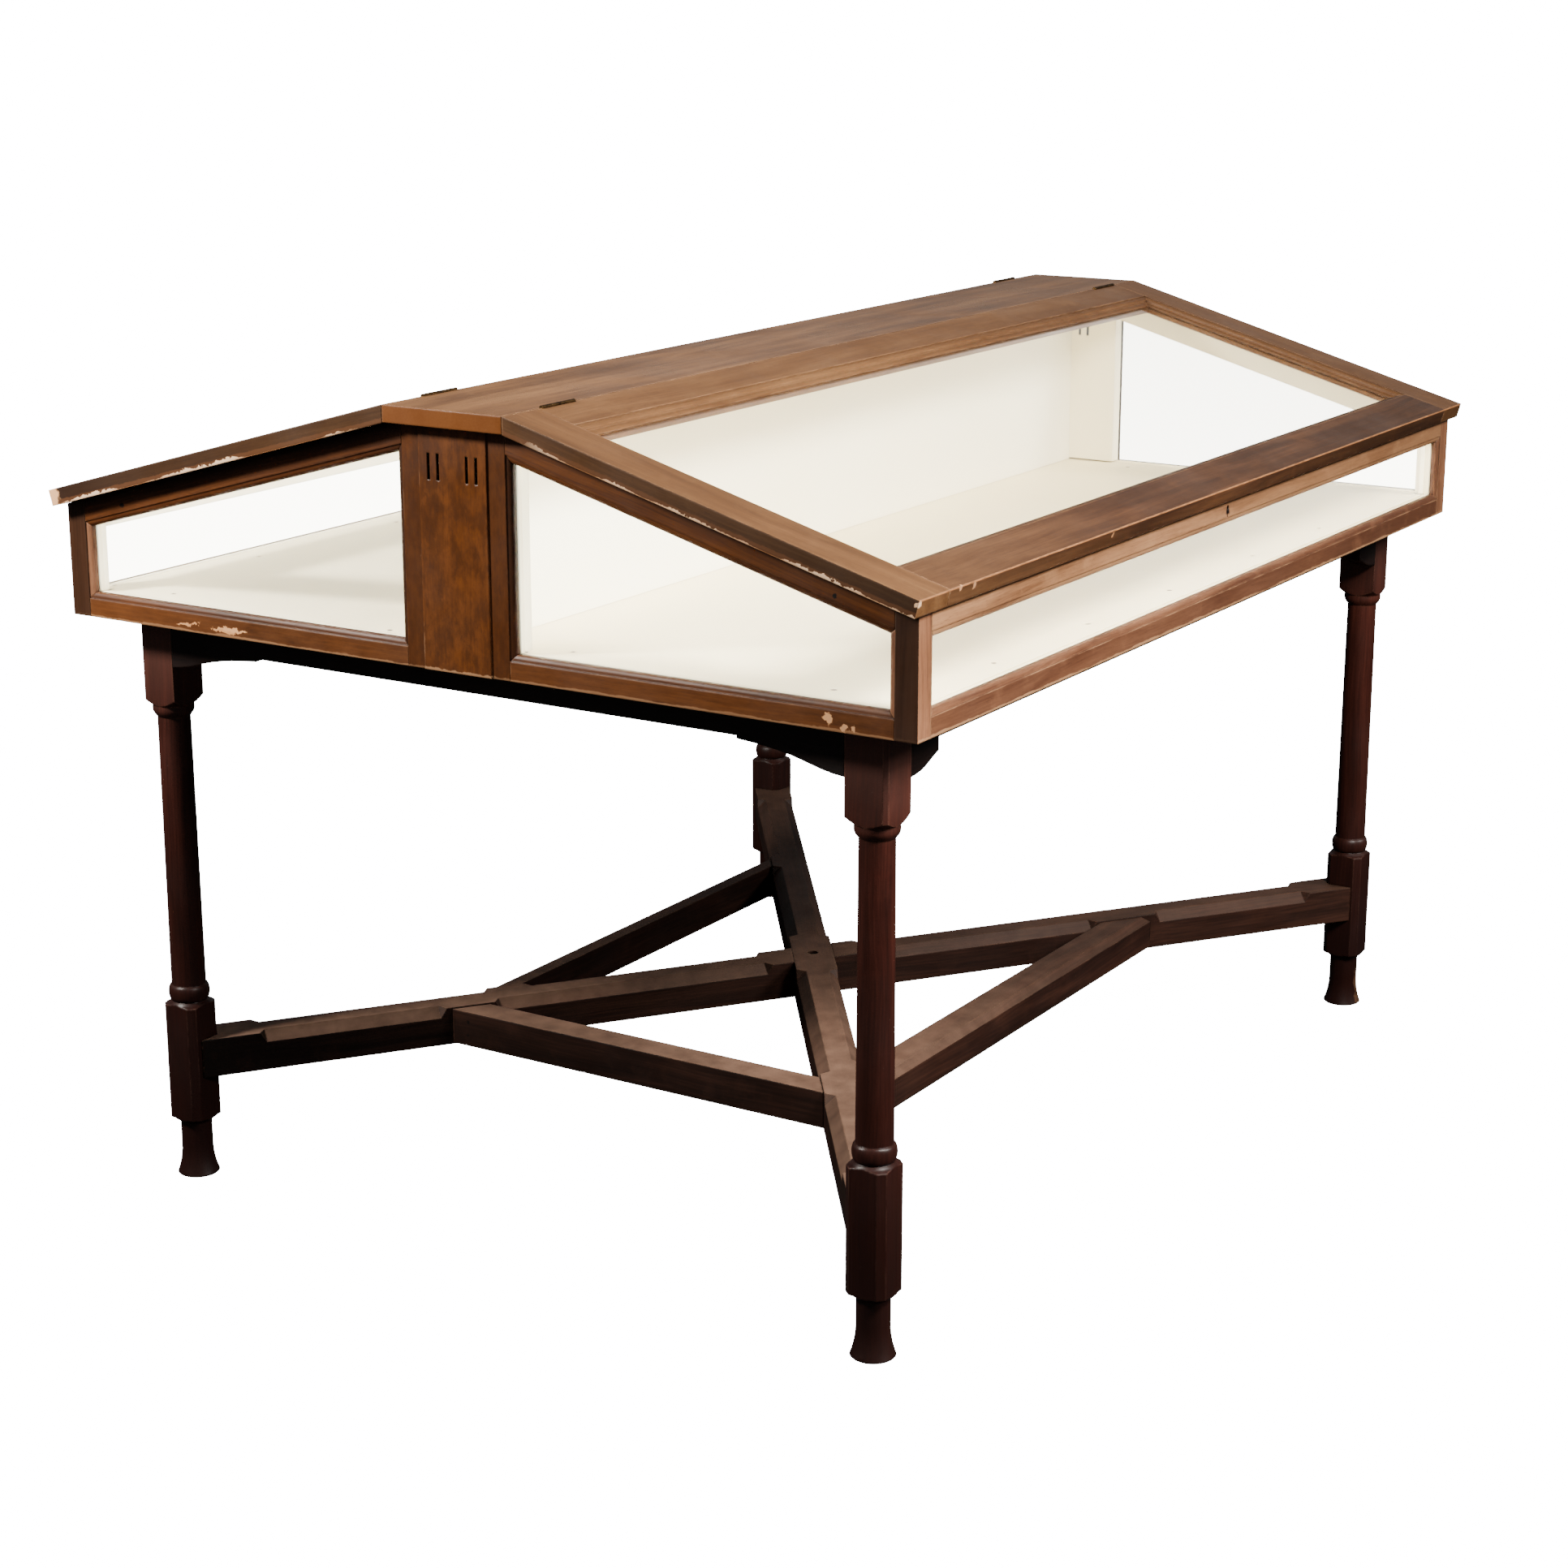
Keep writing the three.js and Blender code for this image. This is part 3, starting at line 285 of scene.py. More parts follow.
def worn_lip(s, spot, place, color):
    """A closed lid's outer edges: painted shade above, a rubbed band below, chips along its ends.
    """
    x, y, _ = s.split(spot)
    rear = s.span(y, -0.1, 0.2, 0.0, 0.15)
    y = s.absolute(y)
    depth = roof_depth(s, spot)
    end = s.above(s.absolute(x), LID_END_X)
    eave = s.above(y, LID_EAVE_Y)
    edge_face = s.math("MAXIMUM", end, eave)
    ragged = s.noise(place, scale=70.0, detail=4.0, roughness=0.7)
    long_wave = s.noise(place, scale=8.0, detail=2.0)

    # The edge faces get painted shade, deeper on the outer stretch of each end and at the rear
    shade = s.plus(s.plus(0.4, s.times(s.span(y, 0.25, 0.6), 0.35)), rear)
    color = s.mix(s.times(edge_face, shade), color, LIP_SHADE)

    start = s.minus(BAND_START, s.times(s.span(ragged, 0.35, 0.65), BAND_WANDER))
    band = s.times(s.span(depth, start, s.plus(start, BAND_FADE)), edge_face)
    color = s.mix(s.times(band, 0.6), color, LIP_BAND)

    line = s.times(s.span(depth, LINE_END, LINE_END + LINE_FADE, 1.0, 0.0), eave)
    color = s.mix(s.times(line, s.span(ragged, 0.3, 0.6, 0.35, 0.85)), color, LIP_LINE)

    deep = s.times(s.span(long_wave, 0.42, 0.6), CHIP_WANDER)
    start = s.minus(CHIP_START, s.times(s.span(ragged, 0.38, 0.58), deep))
    chips = s.times(s.span(depth, start, s.plus(start, CHIP_FADE)), end,
                    s.span(y, CHIPS_FROM_Y, CHIPS_FULL_Y), s.span(ragged, 0.3, 0.42, 0.25, 1.0))
    return s.mix(chips, color, s.mix(s.span(long_wave, 0.4, 0.55), LIP_LINE, LIP_CHIP))


CHIP_RAGGED = 0.014  # how far the outlines of marks wander, in metres
NAIL_RAGGED = 0.003
MARK_EDGE = 0.8  # share of its radius where a mark starts to fade


def spots(s, spot, color, marks, ragged):
    """Small marks, as ragged as a length in metres: (place, radius, colour), or also with the
    slope of a mark that is stretched in y and how many times its radius it then reaches."""
    wander = s.add("TexNoise", Vector=spot, Scale=130.0, Detail=3.0, Roughness=0.6)
    shift = s.vector_math("MULTIPLY_ADD", wander.outputs["Color"], (ragged,) * 3,
                          (-ragged / 2,) * 3)
    moved = s.vector_math("ADD", spot, shift.outputs[0]).outputs[0]
    for centre, radius, shade, *way in marks:
        node = s.add("Mapping", {"vector_type": "TEXTURE"}, Vector=moved)
        node.inputs["Location"].default_value = centre
        if way:
            node.inputs["Rotation"].default_value = (way[0], 0, 0)
            node.inputs["Scale"].default_value = (1, way[1], 1)
        reach = s.vector_math("LENGTH", node.outputs[0]).outputs["Value"]
        color = s.mix(s.span(reach, radius * MARK_EDGE, radius, 1.0, 0.0), color, shade)
    return color


def post_shadows(s, spot, color):
    """Painted shade in a gable post's air slots and on the moulding beside its glass."""
    y = s.absolute(s.split(spot)[1])
    beside = s.span(y, POST_MOULDING_Y, POST_MOULDING_Y + STEP, 0.0, 0.75)
    return s.mix(s.math("MAXIMUM", slot_mask(s, spot), beside), color, DIRT_AND_SHADE)


TUNNEL = (0.016, 0.0035)  # length and width, in metres
EATEN_OUTSIDE = 0.012  # from the foot's axis
EATEN_HEIGHT = 0.058


def eaten_foot(s, spot, color):
    """Bare, worm-eaten wood on the outer side of a foot, in the leg's own coordinates."""
    x, y, z = s.split(spot)
    ragged = s.minus(s.noise(spot, scale=110.0, detail=4.0, roughness=0.65), 0.5)
    outer = s.plus(s.minus(x, s.times(y, 0.9)), s.times(ragged, 0.03))
    high = s.plus(z, s.times(ragged, 0.04))
    bare = s.times(s.span(outer, EATEN_OUTSIDE, EATEN_OUTSIDE + 0.004),
                   s.span(high, EATEN_HEIGHT - 0.008, EATEN_HEIGHT, 1.0, 0.0))
    tunnels = s.add("TexVoronoi", {"feature": "F1"}, Scale=1.0,
                    Vector=s.stretched(spot, (0, 0, 1), *TUNNEL)).outputs["Distance"]
    wormy = s.mix(s.span(tunnels, 0.2, 0.42), srgb(46, 28, 16), srgb(150, 108, 78))
    return s.mix(bare, color, wormy)


LID_SHADE_START = 0.024  # under the lid's upper face
LID_SHADE_ENDS = (0.034, 0.042)
RAIL_LINE_Z = (0.7848, 0.7854)  # along the bottom rail's upper arris


def shade_under_lid(s, spot, rub, color):
    """The gable's strip of painted shadow under a lid, and the rubbed line along its bottom rail.
    """
    _, y, z = s.split(spot)
    edge = s.span(rub, 0.3, 0.7, *LID_SHADE_ENDS)
    # Painted shadow of the lid's overhang, deeper on the rear side
    strip = s.span(roof_depth(s, spot), LID_SHADE_START, edge, 1.0, 0.0)
    color = s.mix(s.times(strip, s.span(y, -0.02, 0.02, 0.45, 0.92)), color, DIRT_AND_SHADE)
    low = s.times(s.span(z, *RAIL_LINE_Z, 1.0, 0.0), s.span(rub, 0.3, 0.75, 0.05, 0.6))
    return s.mix(low, color, srgb(98, 58, 28))


SILL_TOPS = (0.7634, 0.7672)  # least and greatest height
SILL_FADE = 0.0012


def worn_sill(s, spot, rub, color, bare):
    """Bare wood along the lowest arris of the case."""
    top = s.span(rub, 0.3, 0.7, *SILL_TOPS)
    sill = s.span(s.split(spot)[2], s.minus(top, SILL_FADE), top, 0.75, 0.0)
    return s.mix(sill, color, bare)


# Wood
TONE_STOPS = (0.33, 0.5, 0.68)
BROAD_SHARE = 0.4
FIBRE_SHARE = 0.42
RING_SHARE = 0.12
MEAN_TONE = 0.47
WARP = 0.03  # how far the grain wanders, in metres
BROAD_GRAIN = (0.5, 0.045)  # length and width of each kind of grain, in metres
FIBRE = (0.12, 0.0026)
RING_FIELD = (0.9, 0.09)
RINGS = 12.0
PORE = (0.011, 0.0007)
FLECK = (0.028, 0.013)
RUBBED = (0.05, 0.014)
ARRIS_RADIUS = 0.0026
CORNER_REACH = 0.01
NEAR_TONES_X = (-0.72, -0.3)  # where the near end's tones stop
FAR_SHADE_X = (-0.2, 0.85)  # where the far end's painted shade starts and is full
DUST_X = (-0.25, 0.15)  # where the dust starts to thin and is thinnest
LOW_SHADE_Z = (0.1, 0.6)  # painted shade towards the floor, on the legs; the next is their painted sheen at the top
SHEEN_TOP_Z = (0.62, 0.72)


def grain_tone(s, place, along, figure):
    """(tone of the wood's figure about 0.5, its fine fibre, its pores)."""
    warp = s.add("TexNoise", Vector=place, Scale=2.3, Detail=2.0)
    offset = s.vector_math("SCALE", warp.outputs["Color"])
    offset.inputs["Scale"].default_value = WARP
    bent = s.vector_math("ADD", place, offset.outputs[0]).outputs[0]
    broad = s.streaks(bent, along, *BROAD_GRAIN, detail=5.0)
    fibre = s.streaks(bent, along, *FIBRE, detail=4.0, roughness=0.65)
    field = s.streaks(bent, along, *RING_FIELD, detail=2.0)
    rings = s.math("PINGPONG", s.times(field, RINGS), 1.0)
    pores = s.span(s.streaks(place, along, *PORE, detail=2.0), 0.57, 0.72)
    tone = s.plus(s.times(broad, BROAD_SHARE * figure), s.times(fibre, FIBRE_SHARE * figure))
    tone = s.plus(tone, s.times(rings, RING_SHARE * figure))
    return s.plus(tone, 0.5 - MEAN_TONE * figure), fibre, pores


def wood(name, along, dark, middle, light, bare, gloss, wear, level, painted=False, figure=1.0,
         near=None, plain=None, far_shade=0.0, mottle=0.3, flecks=0.0, lip=False, dust=0.0, foot=False,
         under_lid=False, ridge_end=False, moulding=False, darker=None, low_shade=0.0, marks=()):
    """Polished wood with its grain along a direction. level is its specular level; near, the
    tones that it has at the near end; plain, (height, way, amount) of a stretch that is darker;
    far_shade, how much painted shade darkens it to the far end; darker, (axis, start, amount) of
    a darker face, painted shade on the corner posts; low_shade, painted shade towards the floor."""
    s = Shader(name)
    spot = s.add("TexCoord").outputs["Object"]
    x, _, z = s.split(spot)
    place = s.place()

    tone, fibre, pores = grain_tone(s, place, along, figure)
    color = s.ramp(tone, list(zip(TONE_STOPS, (dark, middle, light))))
    if near:
        there = s.ramp(tone, list(zip(TONE_STOPS, near)))
        color = s.mix(s.span(x, *NEAR_TONES_X, 1.0, 0.0), color, there)
    if plain:
        start, way, amount = plain
        beyond = s.times(s.minus(z, start), way)
        color = s.mix(s.span(beyond, 0.0, STEP, 0.0, amount), color, dark)
    # Painted shade that deepens towards the far end
    if far_shade:
        color = s.mix(s.span(x, *FAR_SHADE_X, 0.0, far_shade), color, dark)
    color = s.mix(s.times(pores, 0.35), color, DIRT_AND_SHADE)
    blotch = s.noise(place, scale=4.0, detail=5.0, roughness=0.6)
    color = s.mix(s.span(blotch, 0.5, 0.75, 0.0, 0.35), color, dark)
    patina = s.noise(place, scale=22.0, detail=5.0, roughness=0.65)
    color = s.mix(s.span(patina, 0.55, 0.75, 0.0, mottle), color, light)
    if flecks:
        fleck = s.streaks(place, along, *FLECK, detail=5.0, roughness=0.7)
        color = s.mix(s.span(fleck, 0.47, 0.62, 0.0, flecks), color, dark)
        color = s.mix(s.span(fleck, 0.36, 0.46, 0.5 * flecks, 0.0), color, light)

    normal, edge = s.edges(ARRIS_RADIUS)
    corner = s.openness(CORNER_REACH)
    rub = s.streaks(place, along, *RUBBED, detail=5.0, roughness=0.7)
    worn = s.times(s.span(edge, 0.02, 0.14), s.span(rub, 0.6 - 0.32 * wear, 0.78 - 0.32 * wear),
                   s.span(corner, 0.7, 0.95))
    color = s.mix(s.times(worn, min(1.0, 0.4 + wear)), color, bare)
    # Painted shade in corners and recesses, from how open each place is
    color = s.mix(s.span(corner, 0.3, 0.85, 0.55, 0.0), color, DIRT_AND_SHADE)
    rough = s.span(s.noise(place, scale=9.0, detail=5.0), 0.3, 0.7, gloss - 0.06, gloss + 0.12)
    rough = s.plus(rough, s.times(worn, 0.25))

    if lip:
        color = worn_lip(s, spot, place, color)
    if painted:
        color = worn_sill(s, spot, rub, color, bare)
    if dust:
        up = s.span(s.split(s.add("TexCoord").outputs["Normal"])[2], 0.3, 0.9)
        patch = s.span(s.noise(place, scale=30.0, detail=5.0), 0.25, 0.75, 0.45, 1.0)
        amount = s.times(up, patch, dust, s.span(x, *DUST_X, 1.0, 0.25))
        color = s.mix(amount, color, DUST)
        rough = s.plus(rough, s.times(amount, 0.4))
    if foot:
        color = eaten_foot(s, spot, color)
    if under_lid:
        color = shade_under_lid(s, spot, rub, color)
    if ridge_end:
        end = s.above(s.absolute(x), LID_END_X)
        color = s.mix(s.times(end, 0.75), color, srgb(96, 53, 20))
    if moulding:
        color = post_shadows(s, spot, color)
    # A face painted darker by position; on the corner posts this is painted shade
    if darker:
        axis, start, amount = darker
        away = s.absolute(s.split(spot)[axis])
        color = s.mix(s.span(away, start, start + STEP, 0.0, amount), color, dark)
    # Painted shade towards the floor, and a painted sheen on the leg's top
    if low_shade:
        color = s.mix(s.span(z, *LOW_SHADE_Z, low_shade, 0.0), color, dark)
        color = s.mix(s.span(z, *SHEEN_TOP_Z, 0.0, 0.3), color, srgb(92, 62, 54))
    if marks:
        color = spots(s, spot, color, marks, CHIP_RAGGED)
    if painted:
        mask = inner_mask(s, spot)
        if moulding:
            mask = s.times(mask, s.minus(1.0, slot_mask(s, spot)))
        color = s.mix(mask, color, PAINT)
        rough = s.span(mask, 0.0, 1.0, rough, PAINT_ROUGHNESS)

    height = s.minus(s.times(fibre, 0.35), s.times(pores, 0.6))
    bump = s.add("Bump", Strength=0.12, Distance=0.0006, Height=height, Normal=normal)
    return s.finish(Base_Color=color, Roughness=rough, Normal=bump.outputs[0],
                    Specular_IOR_Level=level)


# The other materials
BRUSH_STROKE = (0.05, 0.002)  # length and width, in metres
PAINT_CORNER_REACH = 0.02
METAL_ARRIS_RADIUS = 0.0008
NAIL_RADIUS = 0.0038
FLOOR_NAILS = [  # x, y, radius
    (-0.7353, -0.1227, NAIL_RADIUS), (-0.7341, -0.4724, 0.0042), (-0.7375, 0.4912, NAIL_RADIUS),
    (-0.7573, 0.1295, 0.004), (-0.7389, 0.5925, 0.005), (0.7375, -0.12, NAIL_RADIUS),
    (0.7375, -0.47, NAIL_RADIUS), (0.7375, 0.48, NAIL_RADIUS),
    *((x, -0.56, NAIL_RADIUS) for x in (-0.53, -0.29, -0.06, 0.2, 0.43)),
    *((x, 0.56, NAIL_RADIUS) for x in (-0.5, -0.21, 0.06, 0.3, 0.52)),
    (-0.7656, -0.0743, 0.006),
]


def white_paint():
    """Old white paint on boards, a little yellowed, with painted shade along the corners."""
    s = Shader("white_paint")
    spot = s.add("TexCoord").outputs["Object"]
    place = s.place()
    drift = s.span(s.noise(place, scale=2.2, detail=4.0), 0.35, 0.7)
    board = s.mix(drift, srgb(248, 238, 204), srgb(240, 228, 192))
    wall = s.mix(drift, srgb(255, 252, 238), srgb(252, 248, 228))
    upright = s.span(s.split(spot)[2], FLOOR_TOP + 0.0002, FLOOR_TOP + 0.0007)
    color = s.mix(upright, board, wall)
    specks = s.noise(place, scale=160.0, detail=3.0)
    color = s.mix(s.span(specks, 0.7, 0.8, 0.0, 0.25), color, srgb(170, 158, 136))
    # Painted shade along the corners, from how open each place is
    corner = s.openness(PAINT_CORNER_REACH)
    color = s.mix(s.span(corner, 0.3, 0.8, 0.22, 0.0), color, srgb(196, 182, 150))
    nails = [((x, y, FLOOR_TOP), radius, NAIL) for x, y, radius in FLOOR_NAILS]
    color = spots(s, spot, color, nails, NAIL_RAGGED)
    brush = s.streaks(place, (1, 0, 0), *BRUSH_STROKE)
    bump = s.add("Bump", Strength=0.12, Distance=0.0005, Height=brush)
    rough = s.span(s.noise(place, scale=20.0), 0.3, 0.7, 0.45, 0.62)
    underside = s.below(s.split(s.add("TexCoord").outputs["Normal"])[2], -0.5)
    unpainted = s.math("MAXIMUM", underside, s.minus(1.0, inner_mask(s, spot)))
    color = s.mix(unpainted, color, srgb(52, 38, 30))
    return s.finish(Base_Color=color, Roughness=rough, Normal=bump.outputs[0])


def glass(name, tint):
    """Old sheet glass that lets lamps light what is behind it."""
    s = Shader(name)
    body = s.add("BsdfPrincipled", Base_Color=tint, Roughness=0.0, IOR=1.3,
                 Transmission_Weight=1.0)
    clear = s.add("BsdfTransparent", Color=(0.992, 0.994, 0.99, 1))
    both = s.add("MixShader")
    s.put(both.inputs[0], s.add("LightPath").outputs["Is Shadow Ray"])
    s.put(both.inputs[1], body.outputs[0])
    s.put(both.inputs[2], clear.outputs[0])
    s.put(s.output.inputs["Surface"], both.outputs[0])
    return s.material


def metal(name, dark, light, rough):
    """Tarnished metal, brighter along its arrises."""
    s = Shader(name)
    tarnish = s.noise(s.place(), scale=90.0, detail=5.0)
    color = s.mix(s.span(tarnish, 0.35, 0.65), dark, light)
    normal, edge = s.edges(METAL_ARRIS_RADIUS)
    color = s.mix(s.span(edge, 0.05, 0.2, 0.0, 0.6), color, light)
    roughness = s.span(tarnish, 0.3, 0.7, rough + 0.15, rough)
    bump = s.add("Bump", Strength=0.15, Distance=0.0002, Height=tarnish, Normal=normal)
    return s.finish(Base_Color=color, Metallic=1.0, Roughness=roughness, Normal=bump.outputs[0])


# Colours of the woods: dark, middle and light tones, then bare wood
WOODS = {
    "case": dict(dark=srgb(64, 38, 25), middle=srgb(98, 65, 45), light=srgb(122, 84, 60),
                 bare=BARE, gloss=0.42, wear=0.55, level=0.2, far_shade=0.85,
                 plain=(BOTTOM_RAIL_TOP, -1, 0.5)),
    "lid": dict(dark=srgb(60, 38, 20), middle=srgb(84, 56, 32), light=srgb(104, 74, 46),
                bare=BARE, gloss=0.42, wear=0.7, level=0.2, lip=True, figure=0.8, far_shade=0.55),
    # The eave's lighter tones at the near end are painted light, where the lamps are nearer
    "eave": dict(dark=srgb(34, 20, 12), middle=srgb(54, 33, 19), light=srgb(80, 52, 32),
                 bare=BARE, gloss=0.4, wear=0.8, level=0.2, lip=True, far_shade=0.45,
                 near=(srgb(50, 31, 17), srgb(74, 49, 29), srgb(92, 64, 41))),
    "ridge": dict(dark=srgb(61, 40, 24), middle=srgb(91, 62, 38), light=srgb(116, 82, 52),
                  bare=BARE, gloss=0.3, wear=0.8, level=0.22, ridge_end=True, far_shade=0.3),
    "top": dict(dark=srgb(88, 58, 37), middle=srgb(134, 96, 66), light=srgb(156, 116, 82),
                bare=BARE, gloss=0.42, wear=0.5, level=0.2, far_shade=0.4,
                plain=(TOP_RAIL_BOTTOM, 1, 0.3)),
    # The corner posts' gable faces are darkened as painted shade
    "corner": dict(dark=srgb(34, 16, 5), middle=srgb(110, 73, 51), light=srgb(134, 93, 67),
                   bare=BARE, gloss=0.4, wear=0.75, level=0.25, darker=(0, GABLE_FACE_X, 0.9)),
    "gable": dict(dark=srgb(42, 20, 5), middle=srgb(66, 34, 11), light=srgb(90, 50, 18),
                  bare=BARE, gloss=0.42, wear=0.4, level=0.25, under_lid=True),
    "post": dict(dark=srgb(50, 24, 6), middle=srgb(75, 39, 10), light=srgb(98, 54, 18),
                 bare=BARE, gloss=0.38, wear=0.3, level=0.25, figure=0.55, mottle=0.6, flecks=0.6,
                 darker=(1, PANEL_EDGE_Y, 0.5), moulding=True),
    "stand": dict(dark=srgb(22, 8, 6), middle=srgb(42, 17, 12), light=srgb(60, 28, 21),
                  bare=srgb(120, 80, 64), gloss=0.34, wear=0.55, level=0.2, low_shade=0.85),
    # The aprons' near-black tones are partly the stand's dark wood and partly painted shade from
    # the case above
    "apron": dict(dark=srgb(12, 7, 6), middle=srgb(20, 11, 9), light=srgb(33, 19, 15),
                  bare=srgb(90, 60, 48), gloss=0.42, wear=0.15, level=0.25),
    "stretcher": dict(dark=srgb(17, 8, 6), middle=srgb(32, 17, 12), light=srgb(50, 29, 21),
                      bare=srgb(100, 68, 50), gloss=0.5, wear=0.3, level=0.1, dust=0.6,
                      near=(srgb(10, 5, 4), srgb(16, 8, 6), srgb(27, 15, 11))),
}
# Chips, and holes in painted shade: place, radius, colour, and for long ones their slope and
# reach
MARKS = {
    "gable": [((-GABLE_X, -0.4996, 0.7758), 0.0065, srgb(190, 140, 96)),
              ((-GABLE_X, -0.52, 0.7678), 0.0045, srgb(176, 130, 92)),
              ((-GABLE_X, -0.532, 0.7686), 0.0035, srgb(176, 130, 92)),
              ((-GABLE_X, -0.507, 0.9122), 0.0042, HOLE_SHADE),
              ((-GABLE_X, 0.5186, 0.9099), 0.004, HOLE_SHADE),
              ((-GABLE_X, 0.349, 0.7716), 0.0032, srgb(196, 144, 98), 0.0, 8.5),
              ((-GABLE_X, 0.362, 0.7692), 0.0026, srgb(184, 130, 84), 0.05, 9.0),
              ((-GABLE_X, 0.415, 0.7722), 0.0026, srgb(180, 126, 82), -0.16, 7.0),
              ((-GABLE_X, 0.428, 0.7702), 0.002, srgb(184, 132, 88), -0.1, 6.0)],
    "lid": [((-LID_X, 0.6225, 0.912), 0.02, srgb(196, 148, 106)),
            ((-LID_X, -0.6225, 0.917), 0.0055, srgb(206, 166, 130)),
            ((-LID_X, -0.6225, 0.908), 0.0045, srgb(196, 152, 116))],
    "eave": [((-0.7215, -EAVE_Y, 0.9185), 0.0045, srgb(170, 124, 88)),
             ((-0.69, -EAVE_Y, 0.9172), 0.0035, srgb(150, 110, 80)),
             ((-0.35, -EAVE_Y, 0.915), 0.004, srgb(150, 108, 76))],
    "top": [((0, -0.6038, 0.888), 0.0085, HOLE_SHADE)],
    "stretcher": [((-0.455, 0.2664, 0.1755), 0.003, HOLE_SHADE),
                  ((-0.455, 0.2671, 0.1567), 0.003, HOLE_SHADE)],
}
PAINTED_INSIDE = ("case", "corner", "top", "gable", "post", "ridge")
ACROSS = ("bottom_rail_left", "bottom_rail_right", "bar_left", "apron_left", "apron_right")


def grain(node):
    """(word, direction) of the way that a node's grain runs."""
    if node.startswith(("corner_post", "gable_post", "leg_")):
        return "upright", (0, 0, 1)
    if node in ACROSS:
        return "across", (0, 1, 0)
    if node.startswith(("gable_rail_front", "front_lid_stile")):
        return "front_slope", (0, math.cos(SLOPE), math.sin(SLOPE))
    if node.startswith(("gable_rail_rear", "rear_lid_stile")):
        return "rear_slope", (0, -math.cos(SLOPE), math.sin(SLOPE))
    if node == "stretcher_over":
        return "over", (math.cos(DIAGONAL), math.sin(DIAGONAL), 0)
    if node == "stretcher_under":
        return "under", (math.cos(DIAGONAL), -math.sin(DIAGONAL), 0)
    return "along", (1, 0, 0)


def family(node):
    """Which of the woods a node has."""
    if node.startswith("leg_"):
        return "stand"
    if node.startswith("apron_"):
        return "apron"
    if node.startswith(("stretcher_", "bar_")):
        return "stretcher"
    if node.endswith("_eave_rail"):
        return "eave"
    if node == "ridge_board":
        return "ridge"
    if node.startswith(("front_lid", "rear_lid")):
        return "lid"
    if node.startswith("gable_post"):
        return "post"
    if node.startswith("corner_post"):
        return "corner"
    if node.startswith("top_rail"):
        return "top"
    if node.startswith("gable_") or node in ("bottom_rail_left", "bottom_rail_right"):
        return "gable"
    return "case"


def dress_nodes():
    """Give every node its material, and return the woods by name."""
    woods = {}
    paint = white_paint()
    clear = glass("glass", (0.99, 1.0, 0.99, 1))
    yellowed = glass("yellowed_glass", (0.99, 0.955, 0.85, 1))
    hinge = metal("dark_brass", srgb(30, 21, 13), srgb(84, 62, 36), 0.4)
    brass = metal("brass", srgb(70, 50, 24), srgb(168, 132, 72), 0.35)
    iron = metal("dark_iron", srgb(22, 19, 17), srgb(66, 58, 52), 0.45)
    for node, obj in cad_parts.items():
        if node in ("base_board", "partition"):
            material = paint
        elif node.startswith("gable_pane"):
            material = clear
        elif node.startswith("pane_") or node.endswith("_glass"):
            material = yellowed
        elif node.endswith("_leaf") or node == "lock_case":
            material = hinge
        elif node in ("lock_bolt", "lid_staple"):
            material = brass
        elif node == "crossing_screw":
            material = iron
        else:
            kind = family(node)
            word, direction = grain(node)
            key = f"{kind}_wood_{word}"
            if key not in woods:
                woods[key] = wood(key, direction, painted=kind in PAINTED_INSIDE,
                                  marks=MARKS.get(kind, ()), **WOODS[kind])
            material = woods[key]
        obj.data.materials.clear()
        obj.data.materials.append(material)
    woods["stand_wood_eaten"] = wood("stand_wood_eaten", (0, 0, 1), foot=True, **WOODS["stand"])
    return woods


# Turned legs, in millimetres from the floor up until the mesh is made
SOLE_TOP = 1.5
FOOT_TOP = 42
ANKLE_TOP = 74
LOWER_BLOCK_FULL = 92
LOWER_BLOCK_TOP = 234
SHOULDER_TOP = 240
BEAD_BOTTOM = 244
BEAD_TOP = 265
COLUMN_TOP = 627
COLLAR_TOP = 641
COLLAR_END = 643
UPPER_BLOCK_FULL = 660
ANKLE_RADIUS = 20.5
COLLAR_RADIUS = 26.3
BEYOND_SQUARE = 60.0
MIDDLE = 440
LOWER_CHAMFER = 8.5
UPPER_CHAMFER = 5.0
TURNING_SIDES = 96
SHARP_ANGLE = math.radians(28)


def leg_radius(z):
    """Radius of the turning at a height, in millimetres."""
    if z <= SOLE_TOP:
        return 26.0 + z
    if z < FOOT_TOP:
        return ANKLE_RADIUS + 7 * min(1.0, (FOOT_TOP - z) / 40.5) ** 2.2
    if z < ANKLE_TOP:
        return ANKLE_RADIUS
    if z < LOWER_BLOCK_FULL:
        return ANKLE_RADIUS + (z - ANKLE_TOP) * 1.2 + max(0.0, z - 80) * 2.0
    if z < LOWER_BLOCK_TOP:
        return BEYOND_SQUARE
    if z < SHOULDER_TOP:
        return 27.6 + (SHOULDER_TOP - z) * 3.0
    if z < BEAD_BOTTOM:
        return 23.5 + (BEAD_BOTTOM - z) * 1.0
    if z < BEAD_TOP:
        middle = (BEAD_BOTTOM + BEAD_TOP) / 2
        t = max(-1.0, min(1.0, (z - middle) / ((BEAD_TOP - BEAD_BOTTOM) / 2)))
        return 22.6 + 4.0 * math.sqrt(1 - t * t)
    if z < COLUMN_TOP:
        return 22.4 - 1.4 * (z - BEAD_TOP) / (COLUMN_TOP - BEAD_TOP)
    if z < COLLAR_TOP:
        t = (z - COLUMN_TOP) / (COLLAR_TOP - COLUMN_TOP)
        return 21 + 5.5 * math.sin(min(1.0, t * 1.35) * math.pi / 2)
    if z < COLLAR_END:
        return COLLAR_RADIUS
    if z < UPPER_BLOCK_FULL:
        return COLLAR_RADIUS + (z - COLLAR_END) * 1.25
    return BEYOND_SQUARE


